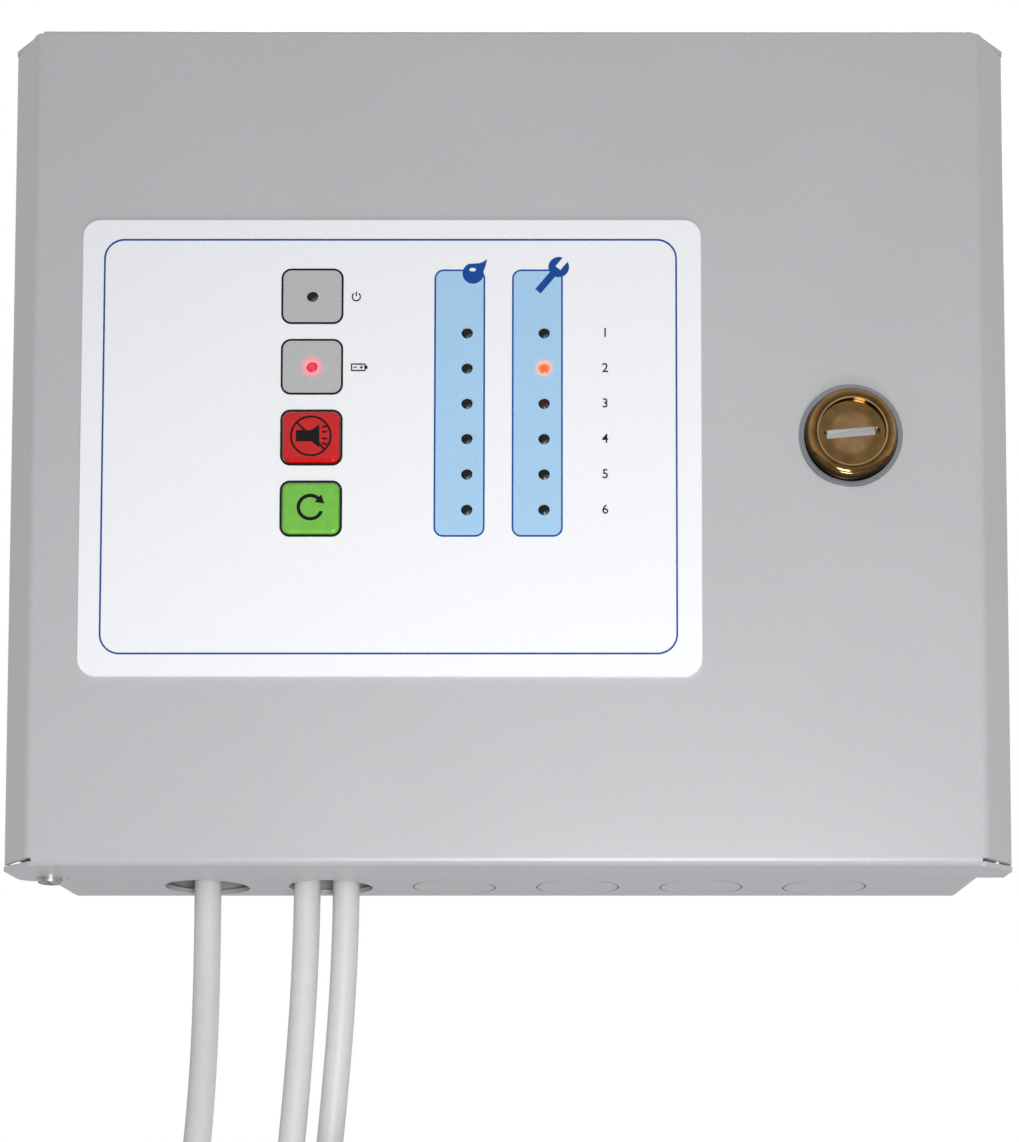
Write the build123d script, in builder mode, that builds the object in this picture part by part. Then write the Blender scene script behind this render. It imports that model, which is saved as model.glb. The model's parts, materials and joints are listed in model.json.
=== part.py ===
from build123d import *
from math import cos, pi, radians, sin, tan
import os

os.makedirs("parts", exist_ok=True)

# Frame: X to the right, the front towards -Y, Z up, in millimetres.
# The origin is the centre of the four wall fixings, on the plane of the wall.
# Plane.XZ.offset(h) is a plane that faces the front, h away from the wall.

# Case and lid, folded from steel sheet
sheet = 1.2
lid_width = 250.0
lid_height = 210.0
case_depth = 62.0
lid_bend = 2.5
flange_depth = 18.3
hinge_flange_depth = 10.8
bevel_width = 8.2
bevel_depth = 9.6
corner_slit = 0.5
fold_gap = 1.2
rim_setback = 10.0
box_bend = 2.0
corner_weld = 0.8
running_fit = 0.1

box_width = lid_width - 2 * (sheet + fold_gap)
box_height = lid_height - 2 * (sheet + fold_gap)
box_depth = case_depth - rim_setback
box_inner_x = box_width / 2 - sheet
box_inner_z = box_height / 2 - sheet
lid_inner_h = case_depth - sheet

# Wall fixings and cable knockouts
fixing_inset_x = 20.0
fixing_inset_z = 17.0
fixing_r = 2.75
knockout_r = 11.2
knockout_pitch = 33.15
knockout_count = 6
knockout_x = 0.7
knockout_h = 15.4
open_knockouts = 2
knockout_ring = 0.5
knockout_ring_depth = 0.6
knockout_tie = 2.6
knockout_tie_depth = 2.0
fixing_spacing_x = lid_width - 2 * fixing_inset_x
fixing_spacing_z = lid_height - 2 * fixing_inset_z

# Hinge: one pivot screw through a lug at the top and one at the bottom
pivot_inset = 8.5
pivot_depth = 19.6
lug_r = 4.2
lug_width = 13.0
pivot_r = 1.45
pivot_head_r = 3.1
pivot_head = 1.4
pivot_slot = 0.8
pivot_slot_length = 3.6
pivot_slot_depth = 0.7
washer_r = 3.6
washer_play = 0.1
pivot_nut_flats = 5.5
pivot_nut_height = 2.4
pivot_x = pivot_inset - lid_width / 2
pivot_h = case_depth - pivot_depth

# Lock at the right of the lid
lock_z = 1.0
lock_barrel_r = 9.4
lock_barrel_flat = 8.0
lock_flange_r = 12.7
lock_flange_rim = 0.7
lock_ring_r = 11.2
lock_ring_height = 3.4
lock_ring_round = 1.6
lock_ring_bulge = 0.4
lock_ring_shoulder = 2.7
lock_recess_r = 8.3
lock_recess_edge = 0.3
lock_recess_h = 1.3
lock_core_r = 6.0
lock_disc_height = 0.9
lock_slot_length = 14.0
lock_slot_width = 2.1
lock_slot_depth = 1.2
lock_turn_at_rest = 5.0
lock_nut_flats = 23.0
lock_nut_height = 4.0
cam_depth = 12.4
cam_sheet = 2.0
cam_wall_gap = 7.1
cam_width = 13.0
cam_tip_width = 9.0
cam_square = 8.0
cam_screw_r = 4.2
cam_screw_head = 2.4
cam_screw_slot = 1.0
cam_screw_slot_length = 5.0
keeper_clearance = 1.0
keeper_overlap = 8.0
keeper_height = 20.0
keeper_wall = 22.0

# Front film: what is printed on it is set out from the same places
film_width = 152.2
film_height = 114.0
film_r = 4.2
film_z = -1.95
film_thick = 0.9
ink = 0.08
border_width = 141.1
border_height = 103.9
border_shift_x = -0.35
border_z = -1.7
border_r = 5.0
border_line = 0.42
key_shift_x = -19.5
key_top_z = 35.75
key_pitch = 17.75
key_width = 15.3
key_height = 14.0
key_corner = 2.5
key_line = 0.5
key_gap = 0.2
key_dome = 1.0
key_round = 0.9
key_back_gap = 0.45
stem_r = 2.0
collar_r = 3.2
collar_height = 0.8
led_columns_shift = (18.6, 37.5)
led_top_z = 26.5
led_pitch = 8.85
led_rows = 6
led_window_r = 1.4
field_columns_shift = (16.75, 35.85)
field_width = 12.5
field_height = 67.0
field_z = 9.0
field_r = 2.3

# The film stands at the left of the flat front and the lock at its right,
# and the width left over is shared between the margins
film_margin_share = 0.218
lock_margin_share = 0.354
flat_width = lid_width - 2 * bevel_width
spare_width = flat_width - film_width - 2 * lock_flange_r
film_x = film_margin_share * spare_width + (film_width - flat_width) / 2
lock_x = flat_width / 2 - lock_margin_share * spare_width - lock_flange_r
cam_reach = box_inner_x - lock_x - cam_wall_gap
border_x = film_x + border_shift_x
key_x = film_x + key_shift_x
led_columns_x = [film_x + shift for shift in led_columns_shift]
field_columns_x = [film_x + shift for shift in field_columns_shift]
film_front = case_depth + film_thick
key_rows_z = [key_top_z - key_pitch * row for row in range(4)]
led_rows_z = [led_top_z - led_pitch * row for row in range(led_rows)]
led_places = [(x, z) for x in led_columns_x for z in led_rows_z]
status_places = [(key_x, z) for z in key_rows_z[:2]]
push_places = [(key_x, z) for z in key_rows_z[2:]]
opening_width = key_width - 2 * key_line
opening_height = key_height - 2 * key_line
opening_r = key_corner - key_line

# Circuit boards
board = 1.6
main_board_x = -14.0
main_board_z = -15.4
main_board_width = 172.0
main_board_height = 104.0
board_lift = 6.0
board_hole_inset = 5.0
display_shift_x = 8.5
display_z = 5.0
display_width = 80.0
display_height = 66.0
display_set_back = 7.5
pillar_inset_x = 4.0
pillar_inset_z = 6.0
pillar_flats = 5.5
pillar_thread = 3.2
pillar_screw = 4.8
spacer_r = 3.0
screw_r = 1.5
screw_head_r = 2.8
screw_head = 1.8
led_r = 1.5
led_nose = 1.35
led_rim_r = 1.9
led_rim = 1.0
led_clear = 0.5
switch_side = 6.0
switch_body = 3.4
switch_plunger_r = 1.7
switch_plunger = 0.5
stem_clear = 0.5

main_back = sheet + board_lift
main_front = main_back + board
display_front = case_depth - display_set_back
display_back = display_front - board
led_tip = lid_inner_h - led_clear
display_x = film_x + display_shift_x
board_top = main_board_z + main_board_height / 2

# Terminal strips along the foot of the main board
strip_inset = 1.0
strip_depth = 10.0
strip_height = 13.0
strip_lip_height = 7.8
strip_slope = 3.0
strip_screw_line = 6.5
strip_entry = 2.6
strip_entry_lift = 4.2
core_entry = 5.0
supply_strip_x = -80.0
supply_strip_ways = 3
supply_pitch = 7.5
sensor_strip_x = -32.5
sensor_strip_ways = 12
output_strip_x = 42.0
output_strip_ways = 6
signal_pitch = 5.0
terminal_screw_r = 1.9
terminal_screw_sink = 2.0
terminal_screw_height = 1.0
terminal_slot = 0.6
terminal_slot_depth = 0.5

# Parts on the main board
relay_places_x = (32.0, 54.0)
relay_z = -32.5
relay_width = 19.0
relay_height = 15.5
relay_lift = 15.3
sounder_x = 47.0
sounder_z = 8.0
sounder_r = 12.0
sounder_height = 9.5
sounder_hole_r = 1.5
sounder_edge = 1.2
capacitor_places = [(-88.0, 22.0), (-74.0, 22.0), (-88.0, 8.0)]
capacitor_r = 5.0
capacitor_height = 20.0
sink_place = (-72.0, -14.0)
sink_width = 22.0
sink_depth = 14.0
sink_height = 18.0
sink_fins = 6
sink_fin = 1.2
sink_base = 2.5
controller_place = (-34.0, -16.0)
controller_side = 14.0
driver_places_x = (-2.0, 10.0, 22.0)
driver_z = -44.0
driver_width = 8.0
driver_height = 5.0
chip_height = 1.6
chip_edge = 0.6
fuse_x = -79.0
fuse_z = -40.0
fuse_length = 20.0
fuse_r = 2.6
fuse_cap = 5.0
fuse_clip = 2.5
fuse_base_width = 7.8
fuse_base = 1.2
fuse_mouth = 4.2
ribbon_width = 13.0
ribbon_sheet = 0.9
ribbon_plug = 6.0
ribbon_plug_ends = 3.6
ribbon_plug_height = 9.0
ribbon_bow = 6.0
ribbon_low_z = 0.0
ribbon_high_z = 12.0

# Transformer and battery above the boards
transformer_inset_x = 24.4
upper_gap = 2.5
core_width = 48.0
core_height = 40.0
core_leg = 16.0
core_window = 8.0
core_stack = 16.0
core_lift = 9.0
bobbin_cheek = 1.2
bobbin_rim = 0.6
winding_play = 0.6
strap_width = 6.5
strap_sheet = 1.0
strap_foot = 11.0
battery_inset_x = 20.9
battery_length = 97.0
battery_width = 43.0
battery_clearance = 1.1
battery_edge = 2.0
battery_strap_x = 8.0
battery_strap_width = 14.0
tab_inset = 9.0
tab_spread = 13.0
tab_width = 4.8
tab_height = 6.5
earth_inset_x = 14.4
earth_inset_z = 31.4
earth_r = 2.0
earth_length = 14.0
earth_washer_r = 4.9
earth_nut_flats = 7.0
earth_nut_height = 3.2

transformer_x = transformer_inset_x + strap_foot + core_width / 2 - box_inner_x
transformer_z = board_top + upper_gap + core_height / 2
battery_x = box_inner_x - battery_inset_x - battery_length / 2
battery_z = board_top + upper_gap + battery_width / 2
battery_h = lid_inner_h - battery_clearance - tab_height
earth_x = earth_inset_x - box_inner_x
earth_z = earth_inset_z - box_inner_z

# Cables
cable_r = 3.6
core_r = 1.0
core_ring_r = 1.25
clamp_inset_z = 11.4
clamp_height = 9.0
clamp_margin = 7.0
jacket_end_z = -82.0
stub_length = 25.0
tail_length = 26.0
tail_core = 16.0
core_straight = 3.5
core_angles = (210, 90, 330)
bundle = 4 * cable_r
coil_r = 38.0
coil_play = 0.15
coil_z = -237.0
coil_side = {"supply": 1, "sensor_1": 1, "sensor_2": -1}
tie_sheet = 1.0
tie_width = 3.0
tie_play = 0.1
stub_z = coil_z + stub_length
clamp_z = clamp_inset_z - box_inner_z

# The routes are chosen by hand; the first point of each is its jacket's upper end
cable_routes = {
    "supply": [
        (-82.1, -knockout_h, jacket_end_z),
        (-82.1, -knockout_h, -106.0),
        (-82.0, -17.2, -128.0),
        (-81.8, -22.4, -149.0),
        (-82.3, -29.0, -169.0),
        (-82.6, -34.9, -186.0),
        (-82.7, -38.0, -200.0),
        (-82.7, -38.0, stub_z),
    ],
    "sensor_1": [
        (-55.3, -knockout_h, jacket_end_z),
        (-55.3, -knockout_h, -106.0),
        (-56.0, -15.9, -132.0),
        (-57.6, -17.5, -159.0),
        (-59.2, -19.6, -180.0),
        (-60.0, -21.6, -198.0),
        (-60.0, -21.6, stub_z),
    ],
    "sensor_2": [
        (-44.8, -knockout_h, jacket_end_z),
        (-44.8, -knockout_h, -106.0),
        (-45.7, -14.9, -132.0),
        (-47.9, -13.7, -159.0),
        (-50.1, -12.6, -180.0),
        (-51.2, -12.0, -198.0),
        (-51.2, -12.0, stub_z),
    ],
}
cable_entry = {name: route[-1] for name, route in cable_routes.items()}
outer_turn_r = coil_r + cable_r
ring_width = bundle + 2 * coil_play
coil_x = {name: cable_entry[name][0] + outer_turn_r for name in cable_routes}
coil_h = {name: coil_side[name] * cable_r - cable_entry[name][1] for name in cable_routes}


# Case: a back panel with four folded walls, welded at the corners
with BuildPart() as back_box:
    with BuildSketch(Plane.XZ):
        Rectangle(box_width, box_height)
    extrude(amount=box_depth)
    fillet(back_box.edges().filter_by(Axis.Y), corner_weld + sheet)
    fillet(back_box.faces().sort_by(Axis.Y)[-1].edges(), box_bend)
    offset(amount=-sheet, openings=back_box.faces().sort_by(Axis.Y)[0])
    with BuildSketch(Plane.XZ):
        with GridLocations(fixing_spacing_x, fixing_spacing_z, 2, 2):
            Circle(fixing_r)
    extrude(amount=sheet, mode=Mode.SUBTRACT)
    with BuildSketch(Plane.XY.offset(-box_height / 2)):
        with Locations((pivot_x, -pivot_h)):
            Circle(pivot_r)
    extrude(amount=box_height, mode=Mode.SUBTRACT)
    knockouts = [
        (knockout_x + knockout_pitch * (i - (knockout_count - 1) / 2), -knockout_h)
        for i in range(knockout_count)
    ]
    with BuildSketch(Plane.XY.offset(-box_height / 2)):
        with Locations(*knockouts[:open_knockouts]):
            Circle(knockout_r)
    extrude(amount=sheet, mode=Mode.SUBTRACT)
    with BuildSketch(Plane.XY.offset(-box_height / 2)):
        with Locations(*knockouts[open_knockouts:]):
            Circle(knockout_r)
            Circle(knockout_r - knockout_ring, mode=Mode.SUBTRACT)
        with Locations(*[(x, y - knockout_r) for x, y in knockouts[open_knockouts:]]):
            Rectangle(knockout_tie, knockout_tie_depth, mode=Mode.SUBTRACT)
    extrude(amount=knockout_ring_depth, mode=Mode.SUBTRACT)
back_box.part.label = "back_box"
export_step(back_box.part, "parts/back_box.step")

# Lid: the front and its top and bottom flanges are one fold,
# the bevelled sides are folded from the same face between slits
slit_z = lid_height / 2 - sheet - corner_slit
fold_x = lid_width / 2 - bevel_width
face_x = fold_x - lid_bend / 2
lug_h = pivot_h - lug_r
with BuildPart() as lid:
    with BuildSketch(Plane.YZ.offset(-face_x)):
        with BuildLine():
            FilletPolyline(
                (flange_depth - case_depth, lid_height / 2),
                (-case_depth, lid_height / 2),
                (-case_depth, -lid_height / 2),
                (flange_depth - case_depth, -lid_height / 2),
                radius=lid_bend,
            )
            offset(amount=-sheet, side=Side.LEFT)
        make_face()
    extrude(amount=2 * face_x)
    with BuildSketch(Plane.XY.offset(-slit_z)):
        with BuildLine():
            FilletPolyline(
                (-lid_width / 2, hinge_flange_depth - case_depth),
                (-lid_width / 2, bevel_depth - case_depth),
                (-fold_x, -case_depth),
                (fold_x, -case_depth),
                (lid_width / 2, bevel_depth - case_depth),
                (lid_width / 2, flange_depth - case_depth),
                radius=lid_bend,
            )
            offset(amount=-sheet, side=Side.LEFT)
        make_face()
    extrude(amount=2 * slit_z)
    for flange_z in (-lid_height / 2, lid_height / 2 - sheet):
        with BuildSketch(Plane.XY.offset(flange_z)) as flange:
            with BuildLine():
                Polyline(
                    (-lid_width / 2, -lug_h),
                    (-lid_width / 2, bevel_depth - case_depth),
                    (-fold_x, lid_bend - case_depth),
                    (fold_x, lid_bend - case_depth),
                    (lid_width / 2, bevel_depth - case_depth),
                    (lid_width / 2, flange_depth - case_depth),
                    (lug_width - lid_width / 2, flange_depth - case_depth),
                    (lug_width - lid_width / 2, -lug_h),
                    close=True,
                )
            make_face()
            fillet(flange.vertices().group_by(Axis.Y)[-1], lug_r)
        extrude(amount=sheet)
    with BuildSketch(Plane.XY.offset(-lid_height / 2)):
        with Locations((pivot_x, -pivot_h)):
            Circle(pivot_r + running_fit)
    extrude(amount=lid_height, mode=Mode.SUBTRACT)
    with BuildSketch(Plane.XZ.offset(lid_inner_h)):
        with Locations(*led_places, *status_places):
            Circle(led_window_r)
        with Locations(*push_places):
            Circle(stem_r + running_fit)
    extrude(amount=sheet, mode=Mode.SUBTRACT)
    with BuildSketch(Plane.XZ.offset(lid_inner_h)):
        with Locations((lock_x, lock_z)):
            Circle(lock_barrel_r + running_fit)
            Rectangle(2 * lid_width, 2 * (lock_barrel_flat + running_fit), mode=Mode.INTERSECT)
    extrude(amount=sheet, mode=Mode.SUBTRACT)
lid.part.label = "lid"
export_step(lid.part, "parts/lid.step")

# Hinge hardware, the same at the top and at the bottom
pivot_length = lid_height / 2 - box_inner_z + pivot_nut_height
with BuildPart() as pivot_screws:
    with BuildSketch(Plane.XY.offset(lid_height / 2)):
        with Locations((pivot_x, -pivot_h)):
            Circle(pivot_head_r)
    extrude(amount=pivot_head)
    fillet(pivot_screws.faces().sort_by(Axis.Z)[-1].edges(), pivot_head / 2)
    with BuildSketch(Plane.XY.offset(lid_height / 2)):
        with Locations((pivot_x, -pivot_h)):
            Circle(pivot_r)
    extrude(amount=-pivot_length)
    with BuildSketch(Plane.XY.offset(lid_height / 2 + pivot_head - pivot_slot_depth)):
        with Locations((pivot_x, -pivot_h)):
            Rectangle(pivot_slot_length, pivot_slot)
            Rectangle(pivot_slot, pivot_slot_length)
    extrude(amount=pivot_slot_depth, mode=Mode.SUBTRACT)
    mirror(about=Plane.XY)
pivot_screws.part.label = "pivot_screws"
export_step(pivot_screws.part, "parts/pivot_screws.step")

with BuildPart() as pivot_washers:
    with BuildSketch(Plane.XY.offset(box_height / 2)):
        with Locations((pivot_x, -pivot_h)):
            Circle(washer_r)
            Circle(pivot_r, mode=Mode.SUBTRACT)
    extrude(amount=fold_gap - washer_play)
    mirror(about=Plane.XY)
pivot_washers.part.label = "pivot_washers"
export_step(pivot_washers.part, "parts/pivot_washers.step")

with BuildPart() as pivot_nuts:
    with BuildSketch(Plane.XY.offset(box_inner_z)):
        with Locations((pivot_x, -pivot_h)):
            RegularPolygon(pivot_nut_flats / 2, 6, major_radius=False)
            Circle(pivot_r, mode=Mode.SUBTRACT)
    extrude(amount=-pivot_nut_height)
    mirror(about=Plane.XY)
pivot_nuts.part.label = "pivot_nuts"
export_step(pivot_nuts.part, "parts/pivot_nuts.step")

# Lock: body and nut stay with the lid, core, cam and screw turn
barrel_h = case_depth - cam_depth + sheet / 2
recess_floor = case_depth + lock_ring_height - lock_recess_h - lock_disc_height
with BuildPart() as lock_body:
    with BuildSketch(Plane(origin=(lock_x, 0, lock_z), z_dir=(0, 0, 1))):
        with BuildLine():
            Polyline(
                (lock_ring_r - lock_ring_round, -case_depth - lock_ring_height),
                (lock_recess_r, lock_recess_edge - case_depth - lock_ring_height),
                (lock_recess_r, -recess_floor),
                (lock_core_r + running_fit, -recess_floor),
                (lock_core_r + running_fit, -barrel_h),
                (lock_barrel_r, -barrel_h),
                (lock_barrel_r, -case_depth),
                (lock_flange_r, -case_depth),
                (lock_flange_r, -case_depth - lock_flange_rim),
                (lock_ring_r, -case_depth - lock_flange_rim),
            )
            ThreePointArc(
                (lock_ring_r, -case_depth - lock_flange_rim),
                (lock_ring_r - lock_ring_bulge, -case_depth - lock_ring_shoulder),
                (lock_ring_r - lock_ring_round, -case_depth - lock_ring_height),
            )
        make_face()
    revolve(axis=Axis((lock_x, 0, lock_z), (0, 1, 0)))
    with BuildSketch(Plane.XZ.offset(barrel_h)):
        with Locations((lock_x, lock_z)):
            Circle(lock_barrel_r)
            Rectangle(2 * lock_barrel_r, 2 * lock_barrel_flat, mode=Mode.SUBTRACT)
    extrude(amount=case_depth - barrel_h, mode=Mode.SUBTRACT)
lock_body.part.label = "lock_body"
export_step(lock_body.part, "parts/lock_body.step")

with BuildPart() as lock_nut:
    with BuildSketch(Plane.XZ.offset(lid_inner_h)):
        with Locations((lock_x, lock_z)):
            RegularPolygon(lock_nut_flats / 2, 6, major_radius=False)
            Circle(lock_barrel_r, mode=Mode.SUBTRACT)
    extrude(amount=-lock_nut_height)
lock_nut.part.label = "lock_nut"
export_step(lock_nut.part, "parts/lock_nut.step")

cam_front = case_depth - cam_depth
cam_back = cam_front - cam_sheet


def turned(h, angle):
    """A plane that faces the front on the lock's axis, turned anticlockwise."""
    x_dir = (cos(radians(angle)), 0, sin(radians(angle)))
    return Plane(origin=(lock_x, -h, lock_z), x_dir=x_dir, z_dir=(0, -1, 0))


disc_back = recess_floor + running_fit / 2
disc_front = disc_back + lock_disc_height
with BuildPart() as lock_core:
    with BuildSketch(turned(disc_back, lock_turn_at_rest)):
        Circle(lock_recess_r - running_fit)
    extrude(amount=lock_disc_height)
    with BuildSketch(turned(cam_front, lock_turn_at_rest)):
        Circle(lock_core_r)
    extrude(amount=disc_back - cam_front)
    with BuildSketch(turned(cam_back, lock_turn_at_rest)):
        Rectangle(cam_square, cam_square)
    extrude(amount=cam_sheet)
    with BuildSketch(turned(disc_front, lock_turn_at_rest)):
        SlotOverall(lock_slot_length, lock_slot_width)
    extrude(amount=-lock_slot_depth, mode=Mode.SUBTRACT)
    with BuildSketch(turned(cam_back, lock_turn_at_rest)):
        Circle(screw_r)
    extrude(amount=cam_depth / 2, mode=Mode.SUBTRACT)
lock_core.part.label = "lock_core"
export_step(lock_core.part, "parts/lock_core.step")

with BuildPart() as lock_cam:
    with BuildSketch(turned(cam_back, lock_turn_at_rest - 90)):
        Circle(cam_width / 2)
        with Locations((cam_reach - cam_tip_width / 2, 0)):
            Circle(cam_tip_width / 2)
        make_hull()
        Rectangle(cam_square, cam_square, mode=Mode.SUBTRACT)
    extrude(amount=cam_sheet)
lock_cam.part.label = "lock_cam"
export_step(lock_cam.part, "parts/lock_cam.step")

with BuildPart() as cam_screw:
    with BuildSketch(turned(cam_back, lock_turn_at_rest)):
        Circle(screw_r)
    extrude(amount=cam_depth / 2)
    with BuildSketch(turned(cam_back, lock_turn_at_rest)):
        Circle(cam_screw_r)
    extrude(amount=-cam_screw_head)
    fillet(cam_screw.faces().sort_by(Axis.Y)[-1].edges(), cam_screw_head / 3)
    with BuildSketch(turned(cam_back - cam_screw_head, lock_turn_at_rest)):
        Rectangle(cam_screw_slot_length, cam_screw_slot)
        Rectangle(cam_screw_slot, cam_screw_slot_length)
    extrude(amount=cam_screw_head / 2, mode=Mode.SUBTRACT)
cam_screw.part.label = "cam_screw"
export_step(cam_screw.part, "parts/cam_screw.step")

# Keeper: an angle welded to the right wall, its front leg ahead of the cam
keeper_h = cam_front + keeper_clearance + sheet
keeper_reach = cam_wall_gap + keeper_overlap
with BuildPart() as lock_keeper:
    with BuildSketch(Plane.XY.offset(lock_z - keeper_height / 2)):
        with BuildLine():
            FilletPolyline(
                (box_inner_x, keeper_wall - keeper_h),
                (box_inner_x, -keeper_h),
                (box_inner_x - keeper_reach, -keeper_h),
                radius=2 * sheet,
            )
            offset(amount=-sheet, side=Side.RIGHT)
        make_face()
    extrude(amount=keeper_height)
lock_keeper.part.label = "lock_keeper"
export_step(lock_keeper.part, "parts/lock_keeper.step")

# Front film with its windows and the two key openings
with BuildPart() as front_film:
    with BuildSketch(Plane.XZ.offset(case_depth)):
        with Locations((film_x, film_z)):
            RectangleRounded(film_width, film_height, film_r)
        with Locations(*led_places, *status_places):
            Circle(led_window_r, mode=Mode.SUBTRACT)
        with Locations(*push_places):
            RectangleRounded(opening_width, opening_height, opening_r, mode=Mode.SUBTRACT)
    extrude(amount=film_thick)
front_film.part.label = "front_film"
export_step(front_film.part, "parts/front_film.step")

# Printed fields and lines, a thin layer on the film
with BuildPart() as blue_lines:
    with BuildSketch(Plane.XZ.offset(film_front)):
        with Locations((border_x, border_z)):
            RectangleRounded(border_width, border_height, border_r)
            RectangleRounded(
                border_width - 2 * border_line,
                border_height - 2 * border_line,
                border_r - border_line,
                mode=Mode.SUBTRACT,
            )
        with Locations(*[(x, field_z) for x in field_columns_x]):
            RectangleRounded(field_width, field_height, field_r)
            RectangleRounded(
                field_width - 2 * border_line,
                field_height - 2 * border_line,
                field_r - border_line,
                mode=Mode.SUBTRACT,
            )
    extrude(amount=ink)
blue_lines.part.label = "blue_lines"
export_step(blue_lines.part, "parts/blue_lines.step")

with BuildPart() as indicator_fields:
    with BuildSketch(Plane.XZ.offset(film_front)):
        with Locations(*[(x, field_z) for x in field_columns_x]):
            RectangleRounded(
                field_width - 2 * border_line,
                field_height - 2 * border_line,
                field_r - border_line,
            )
        with Locations(*led_places):
            Circle(led_window_r, mode=Mode.SUBTRACT)
    extrude(amount=ink)
indicator_fields.part.label = "indicator_fields"
export_step(indicator_fields.part, "parts/indicator_fields.step")

with BuildPart() as key_outlines:
    with BuildSketch(Plane.XZ.offset(film_front)):
        with Locations(*status_places, *push_places):
            RectangleRounded(key_width, key_height, key_corner)
            RectangleRounded(opening_width, opening_height, opening_r, mode=Mode.SUBTRACT)
    extrude(amount=ink)
key_outlines.part.label = "key_outlines"
export_step(key_outlines.part, "parts/key_outlines.step")

with BuildPart() as status_fields:
    with BuildSketch(Plane.XZ.offset(film_front)):
        with Locations(*status_places):
            RectangleRounded(opening_width, opening_height, opening_r)
            Circle(led_window_r, mode=Mode.SUBTRACT)
    extrude(amount=ink)
status_fields.part.label = "status_fields"
export_step(status_fields.part, "parts/status_fields.step")

# Push keys: a domed cap in the film's opening, a stem through the lid
key_back = case_depth + key_back_gap
stem_end = display_front + switch_body + switch_plunger + stem_clear
collar_front = lid_inner_h - running_fit


def push_key(place):
    """A key cap with its stem and the collar that keeps it in the lid."""
    with BuildPart() as key:
        with BuildSketch(Plane.XZ.offset(key_back)):
            with Locations(place):
                RectangleRounded(
                    opening_width - 2 * key_gap,
                    opening_height - 2 * key_gap,
                    opening_r - key_gap,
                )
        extrude(amount=film_front + key_dome - key_back)
        fillet(key.faces().sort_by(Axis.Y)[0].edges(), key_round)
        with BuildSketch(Plane.XZ.offset(stem_end)):
            with Locations(place):
                Circle(stem_r)
        extrude(amount=key_back - stem_end)
        with BuildSketch(Plane.XZ.offset(collar_front)):
            with Locations(place):
                Circle(collar_r)
        extrude(amount=-collar_height)
    return key.part


mute_key = push_key(push_places[0])
mute_key.label = "mute_key"
export_step(mute_key, "parts/mute_key.step")

reset_key = push_key(push_places[1])
reset_key.label = "reset_key"
export_step(reset_key, "parts/reset_key.step")

# Display board with its lamps and switches
pillar_x = display_width / 2 - pillar_inset_x
pillar_z = display_height / 2 - pillar_inset_z
pillar_places = [
    (display_x + i * pillar_x, display_z + j * pillar_z) for i in (-1, 1) for j in (-1, 1)
]
with BuildPart() as display_board:
    with BuildSketch(Plane.XZ.offset(display_back)):
        with Locations((display_x, display_z)):
            Rectangle(display_width, display_height)
        with Locations(*pillar_places):
            Circle(screw_r, mode=Mode.SUBTRACT)
    extrude(amount=board)
display_board.part.label = "display_board"
export_step(display_board.part, "parts/display_board.step")

with BuildPart() as display_pillars:
    with BuildSketch(Plane.XZ.offset(main_front)):
        with Locations(*pillar_places):
            RegularPolygon(pillar_flats / 2, 6, major_radius=False)
    extrude(amount=display_back - main_front)
    with BuildSketch(Plane.XZ.offset(display_back)):
        with Locations(*pillar_places):
            Circle(screw_r)
    extrude(amount=-pillar_thread, mode=Mode.SUBTRACT)
display_pillars.part.label = "display_pillars"
export_step(display_pillars.part, "parts/display_pillars.step")


def lamps(places):
    """Round-nosed lamps that stand on the display board behind the windows."""
    with BuildPart() as group:
        with BuildSketch(Plane.XZ.offset(display_front)):
            with Locations(*places):
                Circle(led_r)
        extrude(amount=led_tip - display_front)
        fillet(group.faces().filter_by(Axis.Y).group_by(Axis.Y)[0].edges(), led_nose)
        with BuildSketch(Plane.XZ.offset(display_front)):
            with Locations(*places):
                Circle(led_rim_r)
        extrude(amount=led_rim)
    return group.part


leak_lamps = lamps(led_places[:led_rows])
leak_lamps.label = "leak_lamps"
export_step(leak_lamps, "parts/leak_lamps.step")

fault_lamps = lamps(led_places[led_rows:])
fault_lamps.label = "fault_lamps"
export_step(fault_lamps, "parts/fault_lamps.step")

power_lamp = lamps(status_places[:1])
power_lamp.label = "power_lamp"
export_step(power_lamp, "parts/power_lamp.step")

battery_lamp = lamps(status_places[1:])
battery_lamp.label = "battery_lamp"
export_step(battery_lamp, "parts/battery_lamp.step")

with BuildPart() as key_switches:
    with BuildSketch(Plane.XZ.offset(display_front)):
        with Locations(*push_places):
            Rectangle(switch_side, switch_side)
    extrude(amount=switch_body)
    with BuildSketch(Plane.XZ.offset(display_front + switch_body)):
        with Locations(*push_places):
            Circle(switch_plunger_r)
    extrude(amount=switch_plunger)
key_switches.part.label = "key_switches"
export_step(key_switches.part, "parts/key_switches.step")

# Main board on spacers, low on the back panel
board_hole_x = main_board_width / 2 - board_hole_inset
board_hole_z = main_board_height / 2 - board_hole_inset
main_board_places = [
    (main_board_x + i * board_hole_x, main_board_z + j * board_hole_z)
    for i in (-1, 1)
    for j in (-1, 1)
]
with BuildPart() as main_board:
    with BuildSketch(Plane.XZ.offset(main_back)):
        with Locations((main_board_x, main_board_z)):
            Rectangle(main_board_width, main_board_height)
        with Locations(*main_board_places):
            Circle(screw_r, mode=Mode.SUBTRACT)
    extrude(amount=board)
main_board.part.label = "main_board"
export_step(main_board.part, "parts/main_board.step")

with BuildPart() as board_spacers:
    with BuildSketch(Plane.XZ.offset(sheet)):
        with Locations(*main_board_places):
            Circle(spacer_r)
            Circle(screw_r, mode=Mode.SUBTRACT)
    extrude(amount=board_lift)
board_spacers.part.label = "board_spacers"
export_step(board_spacers.part, "parts/board_spacers.step")


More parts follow.
